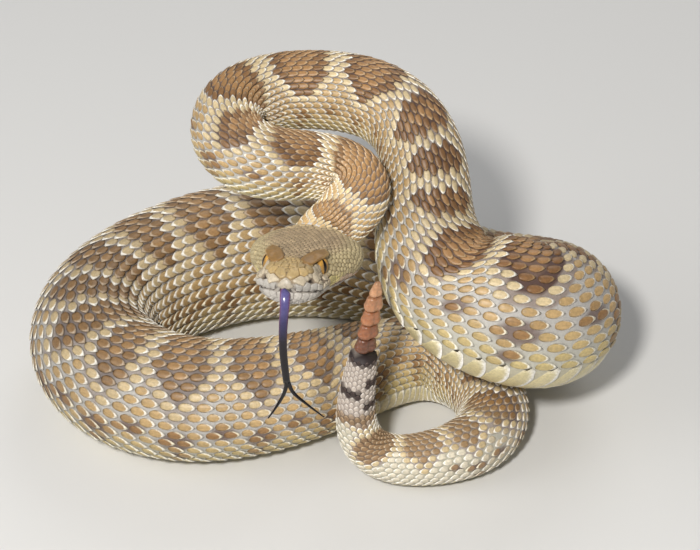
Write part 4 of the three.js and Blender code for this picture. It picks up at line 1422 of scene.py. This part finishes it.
def horn_finish():
    material, nodes, links, shader = new_material("rattle_horn")
    tone = add_attribute(nodes, "tone").outputs["Color"]
    _, grain = add_bump(nodes, links, shader, 1100.0, 0.4, 0.0001)
    streaks = add_range(nodes, links, grain.outputs["Fac"], 0.3, 0.7, 0.78, 1.15)
    paint_shader(nodes, links, shader, tone, streaks)
    set_numbers(shader, {"Roughness": 0.3, "Subsurface Weight": 0.25,
                         "Subsurface Radius": (0.0015, 0.0007, 0.0004),
                         "Coat Weight": 0.3, "Coat Roughness": 0.15})
    return material


def make_bell(number):
    last = number == RATTLE_PIECES - 1
    end, axis, back, side = (route[key][-1] for key in ("place", "ahead", "back", "side"))
    size = 0.66 if last else 1 - 0.05 * number
    fine = np.linspace(0, 1.02, 40)
    bell = np.interp(fine, BELL[:, 0], BELL[:, 1])
    bell = ease(bell[:, None], 2)[:, 0]
    taper = 1 - 0.45 * fine if last else np.ones(40)
    turn = np.arange(48) / 48 * 2 * math.pi
    groove = 1 - 0.17 * np.exp(-(np.cos(turn) / 0.22) ** 2)
    lobes = bell[:, None] * size * taper[:, None] * groove[None, :]
    broad = lobes * RATTLE_WIDTH / 2 * np.sign(np.cos(turn)) * np.abs(np.cos(turn)) ** 0.9
    deep = lobes * RATTLE_THICKNESS / 2 * np.sin(turn)
    start = 0.3 + number * RATTLE_PITCH
    centre = end + axis * (start + fine[:, None] * RATTLE_PITCH * 0.985)
    rings = (centre[:, None, :] + side[None, None, :] * broad[..., None]
             + back[None, None, :] * deep[..., None])
    # painted shade and light: each bell is darker in its narrow waists, where the bells join, and
    # lighter on its bulges
    shade = 0.8 + 0.35 * bell[:, None] ** 3 * np.ones(48)[None, :]
    tone = RATTLE_TONES[number] * shade[..., None]
    piece = wrap_tube("rattle_bell_" + str(number + 1), to_scene(rings), tone, RATTLE_FINISH)
    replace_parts(piece, "rattle_" + str(number + 1))


RATTLE_FINISH = horn_finish()
for number in range(RATTLE_PIECES):
    make_bell(number)
print("rattle:", RATTLE_PIECES, "bells,", RATTLE_PIECES * RATTLE_PITCH, "mm long")

# %% [markdown]
# ## The floor
# The snake lies on a plain pale floor, which isn't part of it.

# %% The floor
def make_floor():
    shape = bmesh.new()
    bmesh.ops.create_grid(shape, x_segments=1, y_segments=1, size=4.0)
    mesh = mesh_from("floor", shape)
    floor = bpy.data.objects.new("floor", mesh)
    bpy.context.scene.collection.objects.link(floor)
    material, _, _, shader = new_material("pale_floor")
    set_numbers(shader, {"Base Color": (0.62, 0.61, 0.59, 1), "Roughness": 0.9})
    mesh.materials.append(material)
    return floor


floor = make_floor()
bpy.context.scene.view_settings.view_transform = "Standard"
